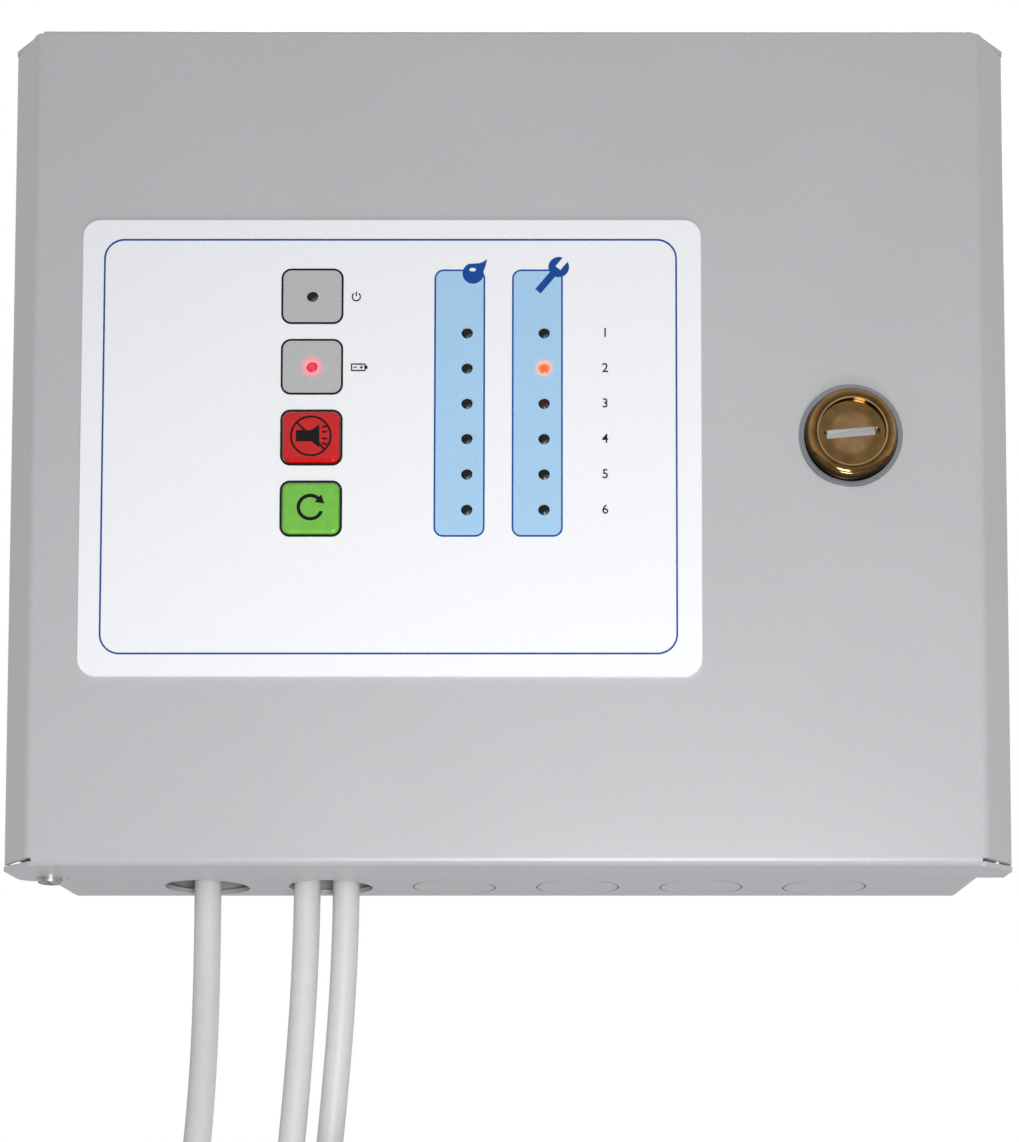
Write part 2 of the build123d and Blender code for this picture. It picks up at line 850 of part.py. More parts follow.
def pan_screws(places, seat_h, length):
    """Pan-head screws that face the front, their heads on the plane seat_h."""
    with BuildPart() as screws:
        with BuildSketch(Plane.XZ.offset(seat_h)):
            with Locations(*places):
                Circle(screw_head_r)
        extrude(amount=screw_head)
        fillet(screws.faces().filter_by(Axis.Y).group_by(Axis.Y)[0].edges(), screw_head / 2)
        with BuildSketch(Plane.XZ.offset(seat_h)):
            with Locations(*places):
                Circle(screw_r)
        extrude(amount=-length)
    return screws.part


with BuildPart() as board_screws:
    add(pan_screws(main_board_places, main_front, board + board_lift))
    add(pan_screws(pillar_places, display_front, pillar_screw))
board_screws.part.label = "board_screws"
export_step(board_screws.part, "parts/board_screws.step")


def terminal_places(middle, ways, pitch):
    """The middle of each way of a terminal strip, from left to right."""
    return [middle + pitch * (way - (ways - 1) / 2) for way in range(ways)]


supply_ways = terminal_places(supply_strip_x, supply_strip_ways, supply_pitch)
sensor_ways = terminal_places(sensor_strip_x, sensor_strip_ways, signal_pitch)
output_ways = terminal_places(output_strip_x, output_strip_ways, signal_pitch)
strip_bottom = main_board_z - main_board_height / 2 + strip_inset
entry_h = main_front + strip_entry_lift


def terminal_strip(ways, pitch):
    """A row of screw terminals: wires enter from below, screws face the front."""
    with BuildPart() as strip:
        with BuildSketch(Plane.YZ.offset(ways[0] - pitch / 2)):
            with BuildLine():
                Polyline(
                    (-main_front, strip_bottom),
                    (-main_front - strip_lip_height, strip_bottom),
                    (-main_front - strip_height, strip_bottom + strip_slope),
                    (-main_front - strip_height, strip_bottom + strip_depth),
                    (-main_front, strip_bottom + strip_depth),
                    close=True,
                )
            make_face()
        extrude(amount=pitch * len(ways))
        with BuildSketch(Plane.XY.offset(strip_bottom)):
            with Locations(*[(x, -entry_h) for x in ways]):
                Rectangle(strip_entry, strip_entry)
        extrude(amount=core_entry, mode=Mode.SUBTRACT)
        with BuildSketch(Plane.XZ.offset(main_front + strip_height)):
            with Locations(*[(x, strip_bottom + strip_screw_line) for x in ways]):
                Circle(terminal_screw_r)
        extrude(amount=-terminal_screw_sink, mode=Mode.SUBTRACT)
    return strip.part


with BuildPart() as terminal_strips:
    add(terminal_strip(supply_ways, supply_pitch))
    add(terminal_strip(sensor_ways, signal_pitch))
    add(terminal_strip(output_ways, signal_pitch))
terminal_strips.part.label = "terminal_strips"
export_step(terminal_strips.part, "parts/terminal_strips.step")

all_ways = supply_ways + sensor_ways + output_ways
screw_seat_h = main_front + strip_height - terminal_screw_sink
with BuildPart() as terminal_screws:
    screw_places = [(x, strip_bottom + strip_screw_line) for x in all_ways]
    with BuildSketch(Plane.XZ.offset(screw_seat_h)):
        with Locations(*screw_places):
            Circle(terminal_screw_r)
    extrude(amount=terminal_screw_height)
    with BuildSketch(Plane.XZ.offset(screw_seat_h + terminal_screw_height)):
        with Locations(*screw_places):
            Rectangle(3 * terminal_screw_r, terminal_slot)
    extrude(amount=-terminal_slot_depth, mode=Mode.SUBTRACT)
terminal_screws.part.label = "terminal_screws"
export_step(terminal_screws.part, "parts/terminal_screws.step")

# Parts on the main board
with BuildPart() as relays:
    with BuildSketch(Plane.XZ.offset(main_front)):
        with Locations(*[(x, relay_z) for x in relay_places_x]):
            Rectangle(relay_width, relay_height)
    extrude(amount=relay_lift)
    fillet(relays.faces().filter_by(Axis.Y).group_by(Axis.Y)[0].edges(), chip_edge)
relays.part.label = "relays"
export_step(relays.part, "parts/relays.step")

with BuildPart() as sounder:
    with BuildSketch(Plane.XZ.offset(main_front)):
        with Locations((sounder_x, sounder_z)):
            Circle(sounder_r)
    extrude(amount=sounder_height)
    fillet(sounder.faces().sort_by(Axis.Y)[0].edges(), sounder_edge)
    with BuildSketch(Plane.XZ.offset(main_front + sounder_height)):
        with Locations((sounder_x, sounder_z)):
            Circle(sounder_hole_r)
    extrude(amount=-sounder_height / 2, mode=Mode.SUBTRACT)
sounder.part.label = "sounder"
export_step(sounder.part, "parts/sounder.step")

with BuildPart() as capacitors:
    with BuildSketch(Plane.XZ.offset(main_front)):
        with Locations(*capacitor_places):
            Circle(capacitor_r)
    extrude(amount=capacitor_height)
    fillet(capacitors.faces().filter_by(Axis.Y).group_by(Axis.Y)[0].edges(), chip_edge)
capacitors.part.label = "capacitors"
export_step(capacitors.part, "parts/capacitors.step")

with BuildPart() as heat_sink:
    with BuildSketch(Plane.XZ.offset(main_front)):
        with Locations(sink_place):
            Rectangle(sink_width, sink_depth)
    extrude(amount=sink_base)
    with BuildSketch(Plane.XZ.offset(main_front + sink_base)):
        with Locations(sink_place):
            with GridLocations((sink_width - sink_fin) / (sink_fins - 1), 0, sink_fins, 1):
                Rectangle(sink_fin, sink_depth)
    extrude(amount=sink_height - sink_base)
heat_sink.part.label = "heat_sink"
export_step(heat_sink.part, "parts/heat_sink.step")

with BuildPart() as chips:
    with BuildSketch(Plane.XZ.offset(main_front)):
        with Locations(controller_place):
            Rectangle(controller_side, controller_side)
        with Locations(*[(x, driver_z) for x in driver_places_x]):
            Rectangle(driver_width, driver_height)
    extrude(amount=chip_height)
    chamfer(chips.faces().filter_by(Axis.Y).group_by(Axis.Y)[0].edges(), chip_edge / 2)
chips.part.label = "chips"
export_step(chips.part, "parts/chips.step")

fuse_h = main_front + 2 * fuse_base + fuse_r
with BuildPart() as fuse_holder:
    with BuildSketch(Plane.XZ.offset(main_front)):
        with Locations((fuse_x, fuse_z)):
            Rectangle(fuse_length + 2 * fuse_base, fuse_base_width)
    extrude(amount=fuse_base)
    with BuildSketch(Plane.XZ.offset(main_front + fuse_base)):
        with Locations((fuse_x, fuse_z)):
            with GridLocations(fuse_length - fuse_cap, 0, 2, 1):
                Rectangle(fuse_clip, fuse_base_width)
    extrude(amount=2 * fuse_r)
    with BuildSketch(Plane.YZ.offset(fuse_x - fuse_length)):
        with Locations((-fuse_h, fuse_z)):
            Circle(fuse_r)
        with Locations((-fuse_h - fuse_r, fuse_z)):
            Rectangle(2 * fuse_r, fuse_mouth)
    extrude(amount=2 * fuse_length, mode=Mode.SUBTRACT)
fuse_holder.part.label = "fuse_holder"
export_step(fuse_holder.part, "parts/fuse_holder.step")

with BuildPart() as fuse:
    with BuildSketch(Plane.YZ.offset(fuse_x - fuse_length / 2)):
        with Locations((-fuse_h, fuse_z)):
            Circle(fuse_r)
    extrude(amount=fuse_length)
fuse.part.label = "fuse"
export_step(fuse.part, "parts/fuse.step")

# Flat cable between the two boards, behind the display board
with BuildPart() as ribbon_plugs:
    with BuildSketch(Plane.XZ.offset(main_front)):
        with Locations((display_x, ribbon_low_z)):
            Rectangle(ribbon_width + ribbon_plug_ends, ribbon_plug)
    extrude(amount=ribbon_plug_height)
    with BuildSketch(Plane.XZ.offset(display_back)):
        with Locations((display_x, ribbon_high_z)):
            Rectangle(ribbon_width + ribbon_plug_ends, ribbon_plug)
    extrude(amount=-ribbon_plug_height)
ribbon_plugs.part.label = "ribbon_plugs"
export_step(ribbon_plugs.part, "parts/ribbon_plugs.step")

ribbon_start_h = main_front + ribbon_plug_height
ribbon_end_h = display_back - ribbon_plug_height
with BuildPart() as ribbon_cable:
    with BuildSketch(Plane.YZ.offset(display_x - ribbon_width / 2)):
        with BuildLine():
            FilletPolyline(
                (-ribbon_start_h, ribbon_low_z),
                (-ribbon_start_h - ribbon_bow, ribbon_low_z),
                (-ribbon_end_h + ribbon_bow, ribbon_high_z),
                (-ribbon_end_h, ribbon_high_z),
                radius=ribbon_bow,
            )
            offset(amount=ribbon_sheet, side=Side.LEFT)
        make_face()
    extrude(amount=ribbon_width)
ribbon_cable.part.label = "ribbon_cable"
export_step(ribbon_cable.part, "parts/ribbon_cable.step")

# Mains transformer, upper left: laminated core, winding, two straps
core_h = sheet + core_lift
with BuildPart() as transformer_core:
    with BuildSketch(Plane.XZ.offset(core_h)):
        with Locations((transformer_x, transformer_z)):
            Rectangle(core_width, core_height)
            with GridLocations(core_leg + core_window, 0, 2, 1):
                Rectangle(core_window, core_height - core_leg, mode=Mode.SUBTRACT)
    extrude(amount=core_stack)
transformer_core.part.label = "transformer_core"
export_step(transformer_core.part, "parts/transformer_core.step")

window_height = core_height - core_leg
cheek_width = core_leg + 2 * core_window - winding_play
cheek_depth = core_stack + 2 * (core_lift - winding_play)
with BuildPart() as transformer_bobbin:
    for cheek_z in (-window_height / 2, window_height / 2 - bobbin_cheek):
        with BuildSketch(Plane.XY.offset(transformer_z + cheek_z)):
            with Locations((transformer_x, -core_h - core_stack / 2)):
                Rectangle(cheek_width, cheek_depth)
                Rectangle(core_leg, core_stack, mode=Mode.SUBTRACT)
        extrude(amount=bobbin_cheek)
transformer_bobbin.part.label = "transformer_bobbin"
export_step(transformer_bobbin.part, "parts/transformer_bobbin.step")

with BuildPart() as transformer_winding:
    with BuildSketch(Plane.XY.offset(transformer_z - window_height / 2 + bobbin_cheek)):
        with Locations((transformer_x, -core_h - core_stack / 2)):
            RectangleRounded(
                cheek_width - 2 * bobbin_rim, cheek_depth - 2 * bobbin_rim, core_window / 2
            )
            Rectangle(core_leg, core_stack, mode=Mode.SUBTRACT)
    extrude(amount=window_height - 2 * bobbin_cheek)
transformer_winding.part.label = "transformer_winding"
export_step(transformer_winding.part, "parts/transformer_winding.step")

strap_rows = [transformer_z + side * (core_height - core_leg / 2) / 2 for side in (-1, 1)]
strap_screw_x = core_width / 2 + strap_sheet + (strap_foot - strap_sheet) / 2
strap_screw_places = [
    (transformer_x + side * strap_screw_x, row) for side in (-1, 1) for row in strap_rows
]
with BuildPart() as transformer_straps:
    for row in strap_rows:
        with BuildSketch(Plane.XY.offset(row - strap_width / 2)):
            with BuildLine():
                Polyline(
                    (transformer_x - core_width / 2 - strap_foot, -sheet),
                    (transformer_x - core_width / 2, -sheet),
                    (transformer_x - core_width / 2, -core_h - core_stack),
                    (transformer_x + core_width / 2, -core_h - core_stack),
                    (transformer_x + core_width / 2, -sheet),
                    (transformer_x + core_width / 2 + strap_foot, -sheet),
                )
                offset(amount=strap_sheet, side=Side.RIGHT, kind=Kind.INTERSECTION)
            make_face()
        extrude(amount=strap_width)
    with BuildSketch(Plane.XZ.offset(sheet)):
        with Locations(*strap_screw_places):
            Circle(screw_r)
    extrude(amount=strap_sheet, mode=Mode.SUBTRACT)
transformer_straps.part.label = "transformer_straps"
export_step(transformer_straps.part, "parts/transformer_straps.step")

# Standby battery, upper right, under a strap
with BuildPart() as battery:
    with BuildSketch(Plane.XZ.offset(sheet)):
        with Locations((battery_x, battery_z)):
            RectangleRounded(battery_length, battery_width, battery_edge)
    extrude(amount=battery_h - sheet)
    fillet(battery.faces().sort_by(Axis.Y)[0].edges(), battery_edge / 2)
battery.part.label = "battery"
export_step(battery.part, "parts/battery.step")

tab_x = battery_x - battery_length / 2 + tab_inset
with BuildPart() as battery_tabs:
    with BuildSketch(Plane.XZ.offset(battery_h)):
        with Locations(*[(tab_x, battery_z + side * tab_spread) for side in (-1, 1)]):
            Rectangle(strap_sheet, tab_width)
    extrude(amount=tab_height)
battery_tabs.part.label = "battery_tabs"
export_step(battery_tabs.part, "parts/battery_tabs.step")

battery_screw_z = battery_width / 2 + strap_sheet + (strap_foot - strap_sheet) / 2
battery_screw_place = (battery_x + battery_strap_x, battery_z + battery_screw_z)
with BuildPart() as battery_strap:
    with BuildSketch(Plane.YZ.offset(battery_x + battery_strap_x - battery_strap_width / 2)):
        with BuildLine():
            Polyline(
                (-sheet, battery_z + battery_width / 2 + strap_foot),
                (-sheet, battery_z + battery_width / 2),
                (-battery_h, battery_z + battery_width / 2),
                (-battery_h, battery_z - battery_width / 2),
                (-sheet, battery_z - battery_width / 2),
            )
            offset(amount=strap_sheet, side=Side.LEFT, kind=Kind.INTERSECTION)
        make_face()
    extrude(amount=battery_strap_width)
    with BuildSketch(Plane.XZ.offset(sheet)):
        with Locations(battery_screw_place):
            Circle(screw_r)
    extrude(amount=strap_sheet, mode=Mode.SUBTRACT)
battery_strap.part.label = "battery_strap"
export_step(battery_strap.part, "parts/battery_strap.step")

# Earth stud with its nut, lower left
with BuildPart() as earth_stud:
    with BuildSketch(Plane.XZ.offset(sheet)):
        with Locations((earth_x, earth_z)):
            Circle(earth_r)
    extrude(amount=earth_length)
    chamfer(earth_stud.faces().sort_by(Axis.Y)[0].edges(), earth_r / 4)
earth_stud.part.label = "earth_stud"
export_step(earth_stud.part, "parts/earth_stud.step")

with BuildPart() as earth_nut:
    with BuildSketch(Plane.XZ.offset(sheet)):
        with Locations((earth_x, earth_z)):
            Circle(earth_washer_r)
            Circle(earth_r, mode=Mode.SUBTRACT)
    extrude(amount=strap_sheet)
    with BuildSketch(Plane.XZ.offset(sheet + strap_sheet)):
        with Locations((earth_x, earth_z)):
            RegularPolygon(earth_nut_flats / 2, 6, major_radius=False)
            Circle(earth_r, mode=Mode.SUBTRACT)
    extrude(amount=earth_nut_height)
earth_nut.part.label = "earth_nut"
export_step(earth_nut.part, "parts/earth_nut.step")

# Cable bracket: the cables lie on its front, each held by a tie through slots
clamp_front = knockout_h - cable_r
clamp_x = [route[0][0] for route in cable_routes.values()]
clamp_left = min(clamp_x) - clamp_margin
clamp_right = max(clamp_x) + clamp_margin
clamp_screw_places = [
    (clamp_left - strap_foot / 2, clamp_z),
    (clamp_right + strap_foot / 2, clamp_z),
]
slot_places = [
    (x + side * (cable_r + tie_sheet / 2), clamp_z) for x in clamp_x for side in (-1, 1)
]
with BuildPart() as cable_bracket:
    with BuildSketch(Plane.XY.offset(clamp_z - clamp_height / 2)):
        with BuildLine():
            Polyline(
                (clamp_left - strap_foot, -sheet - strap_sheet),
                (clamp_left, -sheet - strap_sheet),
                (clamp_left, -clamp_front),
                (clamp_right, -clamp_front),
                (clamp_right, -sheet - strap_sheet),
                (clamp_right + strap_foot, -sheet - strap_sheet),
            )
            offset(amount=strap_sheet, side=Side.LEFT, kind=Kind.INTERSECTION)
        make_face()
    extrude(amount=clamp_height)
    with BuildSketch(Plane.XZ.offset(clamp_front)):
        with Locations(*slot_places):
            Rectangle(tie_sheet, tie_width)
    extrude(amount=-strap_sheet, mode=Mode.SUBTRACT)
    with BuildSketch(Plane.XZ.offset(sheet)):
        with Locations(*clamp_screw_places):
            Circle(screw_r)
    extrude(amount=strap_sheet, mode=Mode.SUBTRACT)
cable_bracket.part.label = "cable_bracket"
export_step(cable_bracket.part, "parts/cable_bracket.step")

with BuildPart() as strap_screws:
    seats = [*strap_screw_places, battery_screw_place, *clamp_screw_places]
    add(pan_screws(seats, sheet + strap_sheet, strap_sheet))
strap_screws.part.label = "strap_screws"
export_step(strap_screws.part, "parts/strap_screws.step")

with BuildPart() as cable_ties:
    for x in clamp_x:
        with BuildSketch(Plane.XY.offset(clamp_z - tie_width / 2)):
            with Locations((x, -knockout_h)):
                Circle(cable_r + tie_sheet)
            with Locations((x, -knockout_h + (cable_r + strap_sheet + tie_sheet) / 2)):
                Rectangle(2 * (cable_r + tie_sheet), cable_r + strap_sheet + tie_sheet)
            with Locations((x, -knockout_h)):
                Circle(cable_r, mode=Mode.SUBTRACT)
            with Locations((x, -knockout_h + (cable_r + strap_sheet) / 2)):
                Rectangle(2 * cable_r, cable_r + strap_sheet, mode=Mode.SUBTRACT)
        extrude(amount=tie_width)
cable_ties.part.label = "cable_ties"
export_step(cable_ties.part, "parts/cable_ties.step")


# Cables: straight runs joined by tangent arcs, from the bracket to the coils
def cord_radii(points):
    """The largest arc that the two runs at each corner allow."""
    radii = []
    for before, corner, after in zip(points, points[1:], points[2:]):
        run_in = Vector(*corner) - Vector(*before)
        run_out = Vector(*after) - Vector(*corner)
        turn = radians(run_in.get_angle(run_out))
        radii.append(0.45 * min(run_in.length, run_out.length) / tan(turn / 2))
    return radii


def cord(name, points, radius):
    """A round cord along its route, with its radii and volume printed."""
    radii = cord_radii(points)
    with BuildPart() as tube:
        with BuildLine() as path:
            FilletPolyline(*points, radius=radii)
        start = path.wires()[0]
        with BuildSketch(Plane(origin=start @ 0, z_dir=start % 0)):
            Circle(radius)
        sweep(path=start)
    section_volume = pi * radius**2 * start.length
    print(name, "length", round(start.length, 1), "radii", [round(r) for r in radii],
          "volume ratio", round(tube.part.volume / section_volume, 4))
    return tube.part


supply_cable = cord("supply_cable", cable_routes["supply"], cable_r)
supply_cable.label = "supply_cable"
export_step(supply_cable, "parts/supply_cable.step")

sensor_cable_1 = cord("sensor_cable_1", cable_routes["sensor_1"], cable_r)
sensor_cable_1.label = "sensor_cable_1"
export_step(sensor_cable_1, "parts/sensor_cable_1.step")

sensor_cable_2 = cord("sensor_cable_2", cable_routes["sensor_2"], cable_r)
sensor_cable_2.label = "sensor_cable_2"
export_step(sensor_cable_2, "parts/sensor_cable_2.step")


# Coils: the spare length of each cable, wound two by two and hung from its run.
# The last turn lies in the layer beside the one that the cable enters.
def tail_place(name):
    """Where the tail leaves the coil, across from the entry and in the other layer."""
    side = coil_side[name]
    return (coil_x[name] + outer_turn_r, -side * cable_r - coil_h[name])


def coil(name):
    """The outer shape of a coil, with the run that enters it and the tail."""
    with BuildPart() as wound:
        with BuildSketch(Plane(origin=(coil_x[name], 0, coil_z), z_dir=(0, 0, 1))):
            with Locations((coil_r, -coil_h[name])):
                RectangleRounded(ring_width, ring_width, cable_r)
        revolve(axis=Axis((coil_x[name], 0, coil_z), (0, 1, 0)))
        with BuildSketch(Plane.XY.offset(coil_z)):
            with Locations(cable_entry[name][:2]):
                Circle(cable_r)
        extrude(amount=stub_length)
        with BuildSketch(Plane.XY.offset(coil_z)):
            with Locations(tail_place(name)):
                Circle(cable_r)
        extrude(amount=tail_length)
    return wound.part


supply_coil = coil("supply")
supply_coil.label = "supply_coil"
export_step(supply_coil, "parts/supply_coil.step")

sensor_coil_1 = coil("sensor_1")
sensor_coil_1.label = "sensor_coil_1"
export_step(sensor_coil_1, "parts/sensor_coil_1.step")

sensor_coil_2 = coil("sensor_2")
sensor_coil_2.label = "sensor_coil_2"
export_step(sensor_coil_2, "parts/sensor_coil_2.step")

with BuildPart() as coil_ties:
    for name in cable_routes:
        with BuildSketch(Plane.YZ.offset(coil_x[name] - tie_width / 2)):
            with Locations(*[(-coil_h[name], coil_z + side * coil_r) for side in (-1, 1)]):
                RectangleRounded(
                    ring_width + 2 * (tie_sheet + tie_play),
                    ring_width + 2 * (tie_sheet + tie_play),
                    cable_r,
                )
                RectangleRounded(
                    ring_width + 2 * tie_play,
                    ring_width + 2 * tie_play,
                    cable_r - tie_sheet,
                    mode=Mode.SUBTRACT,
                )
        extrude(amount=tie_width)
coil_ties.part.label = "coil_ties"
export_step(coil_ties.part, "parts/coil_ties.step")


# Cable ends: the bare cores that stand out of each tail
def tail_cores(name):
    """Three cores side by side, out of the tail of a coil."""
    with BuildPart() as cores:
        with BuildSketch(Plane.XY.offset(coil_z + tail_length)):
            with Locations(tail_place(name)):
                with PolarLocations(core_ring_r, 3):
                    Circle(core_r)
        extrude(amount=tail_core)
    return cores.part


with BuildPart() as cable_ends:
    for name in cable_routes:
        add(tail_cores(name))
cable_ends.part.label = "cable_ends"
export_step(cable_ends.part, "parts/cable_ends.step")


# Cores inside the case, from the end of each jacket up to its terminals
def fan_out(name, ways):
    """One core to each way, spread from the jacket's end."""
    start_x, start_y, start_z = cable_routes[name][0]
    for way_x, angle in zip(ways, core_angles):
        from_x = start_x + core_ring_r * cos(radians(angle))
        from_y = start_y + core_ring_r * sin(radians(angle))
        points = [
            (from_x, from_y, start_z),
            (from_x, from_y, start_z + core_straight),
            (way_x, -entry_h, strip_bottom - core_straight),
            (way_x, -entry_h, strip_bottom + core_straight),
        ]
        add(cord(name + "_core", points, core_r))


with BuildPart() as inner_cores:
    fan_out("supply", supply_ways)
    fan_out("sensor_1", sensor_ways[:3])
    fan_out("sensor_2", sensor_ways[3:6])
inner_cores.part.label = "inner_cores"
export_step(inner_cores.part, "parts/inner_cores.step")
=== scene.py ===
# %% [markdown]
# # A leak detection controller, dressed
# The object is a folded steel case on a wall, with a hinged lid, a slotted cam lock, a printed
# front film with lamps and push keys, and three cables that drop from its underside.
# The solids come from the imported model, at their real size, and stay where they are.
# This script adds the looks: the camera and light, the cables, the print and every finish.

# %% Load the frame
import bpy
import json
from math import asin, cos, degrees, pi, radians, sin
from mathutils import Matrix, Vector


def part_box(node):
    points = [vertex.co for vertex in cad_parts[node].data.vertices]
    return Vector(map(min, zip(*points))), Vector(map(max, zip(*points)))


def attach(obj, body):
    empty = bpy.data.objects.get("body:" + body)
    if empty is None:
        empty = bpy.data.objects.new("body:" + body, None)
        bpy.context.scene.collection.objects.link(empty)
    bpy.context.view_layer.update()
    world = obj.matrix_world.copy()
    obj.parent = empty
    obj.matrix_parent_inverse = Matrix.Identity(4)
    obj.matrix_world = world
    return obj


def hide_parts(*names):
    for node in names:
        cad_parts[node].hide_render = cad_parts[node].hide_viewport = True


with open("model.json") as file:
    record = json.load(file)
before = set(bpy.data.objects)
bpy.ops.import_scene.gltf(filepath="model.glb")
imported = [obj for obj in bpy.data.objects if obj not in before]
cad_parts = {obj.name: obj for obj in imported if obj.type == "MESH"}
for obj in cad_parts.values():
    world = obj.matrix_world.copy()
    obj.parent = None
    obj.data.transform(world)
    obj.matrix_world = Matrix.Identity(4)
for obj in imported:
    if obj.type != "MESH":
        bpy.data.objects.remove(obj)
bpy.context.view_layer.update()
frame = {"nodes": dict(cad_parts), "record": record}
nodes = frame["nodes"]
MM = 0.001

# %% [markdown]
# ## Camera
# The photograph was taken about 0.4 m in front of the lid and lower than the whole case, so its
# underside shows while the lid stays a true rectangle. The strips beside the lid, its bottom
# corners and the cables all run towards one point below the picture, and that gave the camera's
# place. The picture was then cropped to the object, and the lens shift stands for that crop.
# The camera is tilted up by three degrees, so that the shift stays smaller and other views keep
# more of the case in frame. That tapers the lid a little, by about a hundredth of its width on
# either side.

# %% Camera
PHOTO_HEIGHT = 1142
# Straight ahead of the tilted camera, at the lid's distance
PIXELS_PER_MM = 4.16
LID_FACE_Y = -62 * MM
CAMERA_DISTANCE = 421 * MM
CAMERA_X, CAMERA_Z = 16.5 * MM, -183.1 * MM
CAMERA_TILT = radians(3)
SHIFT_X, SHIFT_Y = -0.057, 0.459

camera_data = bpy.data.cameras.new("camera")
camera_data.sensor_width = 36.0
focal_pixels = PIXELS_PER_MM / MM * CAMERA_DISTANCE
camera_data.lens = focal_pixels / PHOTO_HEIGHT * camera_data.sensor_width
camera_data.shift_x = SHIFT_X
camera_data.shift_y = SHIFT_Y
camera_data.clip_end = 20.0
camera = bpy.data.objects.new("camera", camera_data)
bpy.context.scene.collection.objects.link(camera)
camera.location = (CAMERA_X, LID_FACE_Y - CAMERA_DISTANCE, CAMERA_Z)
camera.rotation_euler = (pi / 2 + CAMERA_TILT, 0, 0)
bpy.context.scene.camera = camera
bpy.context.scene.view_settings.view_transform = "Standard"
print("lens", round(camera_data.lens), "mm, shift", SHIFT_X, SHIFT_Y)

# %% [markdown]
# ## Colours and finishes
# Colours are read off as sRGB hex values, while the shader works in linear light, so one
# function converts them. Another adds a node, sets it and links it. Every finish below is
# built from these two.

# %% Helpers for materials
def linear(hex_colour):
    """An sRGB colour such as B4B5B6 as linear red, green, blue and alpha."""
    parts = [int(hex_colour[i:i + 2], 16) / 255 for i in (0, 2, 4)]
    return [p / 12.92 if p <= 0.04045 else ((p + 0.055) / 1.055) ** 2.4 for p in parts] + [1.0]


def add_node(tree, kind, inputs=None, **settings):
    """Adds a shader node: settings are its own, inputs are values or sockets to link from."""
    made = tree.nodes.new(kind)
    for name, value in settings.items():
        setattr(made, name, value)
    for name, value in (inputs or {}).items():
        if isinstance(value, bpy.types.NodeSocket):
            tree.links.new(value, made.inputs[name])
        else:
            made.inputs[name].default_value = value
    return made


def blank_material(name, roughness, metallic=0.0, ior=1.5):
    """A material with a Principled shader, its tree, its shader and Object coordinates."""
    material = bpy.data.materials.new(name)
    material.use_nodes = True
    tree = material.node_tree
    shader = tree.nodes["Principled BSDF"]
    shader.inputs["Roughness"].default_value = roughness
    shader.inputs["Metallic"].default_value = metallic
    if metallic < 1:
        shader.inputs["IOR"].default_value = ior
    place = add_node(tree, "ShaderNodeTexCoord").outputs["Object"]
    return material, tree, shader, place


def grained(name, colours, grain_mm, roughness, metallic=0.0, ior=1.5, relief_mm=0.0, spread=0.12):
    """A finish whose colour wanders between two tones over grains of a real size."""
    material, tree, shader, place = blank_material(name, roughness, metallic, ior)
    grain = add_node(tree, "ShaderNodeTexNoise",
                     {"Vector": place, "Scale": 1 / (grain_mm * MM), "Detail": 2.0})
    ramp = add_node(tree, "ShaderNodeValToRGB", {"Fac": grain.outputs["Fac"]})
    ramp.color_ramp.elements[0].position = 0.5 - spread
    ramp.color_ramp.elements[1].position = 0.5 + spread
    ramp.color_ramp.elements[0].color = linear(colours[0])
    ramp.color_ramp.elements[1].color = linear(colours[1])
    tree.links.new(ramp.outputs["Color"], shader.inputs["Base Color"])
    if relief_mm:
        bump = add_node(tree, "ShaderNodeBump", {"Height": grain.outputs["Fac"],
                                                 "Distance": relief_mm * MM, "Strength": 1.0})
        tree.links.new(bump.outputs["Normal"], shader.inputs["Normal"])
    return material


# %% [markdown]
# ## Cables
# Each cable is a round sheath of light grey PVC, 7.2 mm thick, a metre long. It leaves the
# case straight down, held by a tie inside, and drifts a little to the left, as in the photo.
# The rest is a neat coil just below the picture: turns lie two by two, a diameter apart.
# One NURBS curve per cable keeps it smooth. Its listed points are the same as the
# solid's route, and the coil's turns follow from a loop.

# %% Cable routes
CABLE_R = 3.6 * MM
COIL_R = 38.0
COIL_Z = -237.0
TURNS = 3.5
POINTS_PER_TURN = 24
TAIL = 26.0
COIL_ENTRY = 12.0
cable_routes = {
    "supply": [
        (-82.1, -15.4, -82.0), (-82.1, -15.4, -106.0), (-81.8, -17.2, -128.0),
        (-81.2, -22.4, -149.0), (-81.0, -29.0, -169.0), (-81.6, -34.9, -186.0),
        (-82.5, -38.0, -200.0), (-82.7, -38.0, -212.0),
    ],
    "sensor_1": [
        (-55.3, -15.4, -82.0), (-55.3, -15.4, -106.0), (-56.0, -15.9, -132.0),
        (-57.6, -17.5, -159.0), (-59.2, -19.6, -180.0), (-60.0, -21.6, -198.0),
        (-60.0, -21.6, -212.0),
    ],
    "sensor_2": [
        (-44.8, -15.4, -82.0), (-44.8, -15.4, -106.0), (-45.7, -14.9, -132.0),
        (-47.9, -13.7, -159.0), (-50.1, -12.6, -180.0), (-51.2, -12.0, -198.0),
        (-51.2, -12.0, -212.0),
    ],
}
coil_x = {"supply": -41.1, "sensor_1": -18.4, "sensor_2": -9.6}
coil_y = {"supply": -41.6, "sensor_1": -25.2, "sensor_2": -8.4}
print("routes for", len(cable_routes), "cables")


def smooth_step(value, start, end):
    """0 before start, 1 after end, and an even ramp between them."""
    t = min(1.0, max(0.0, (value - start) / (end - start)))
    return t * t * (3 - 2 * t)


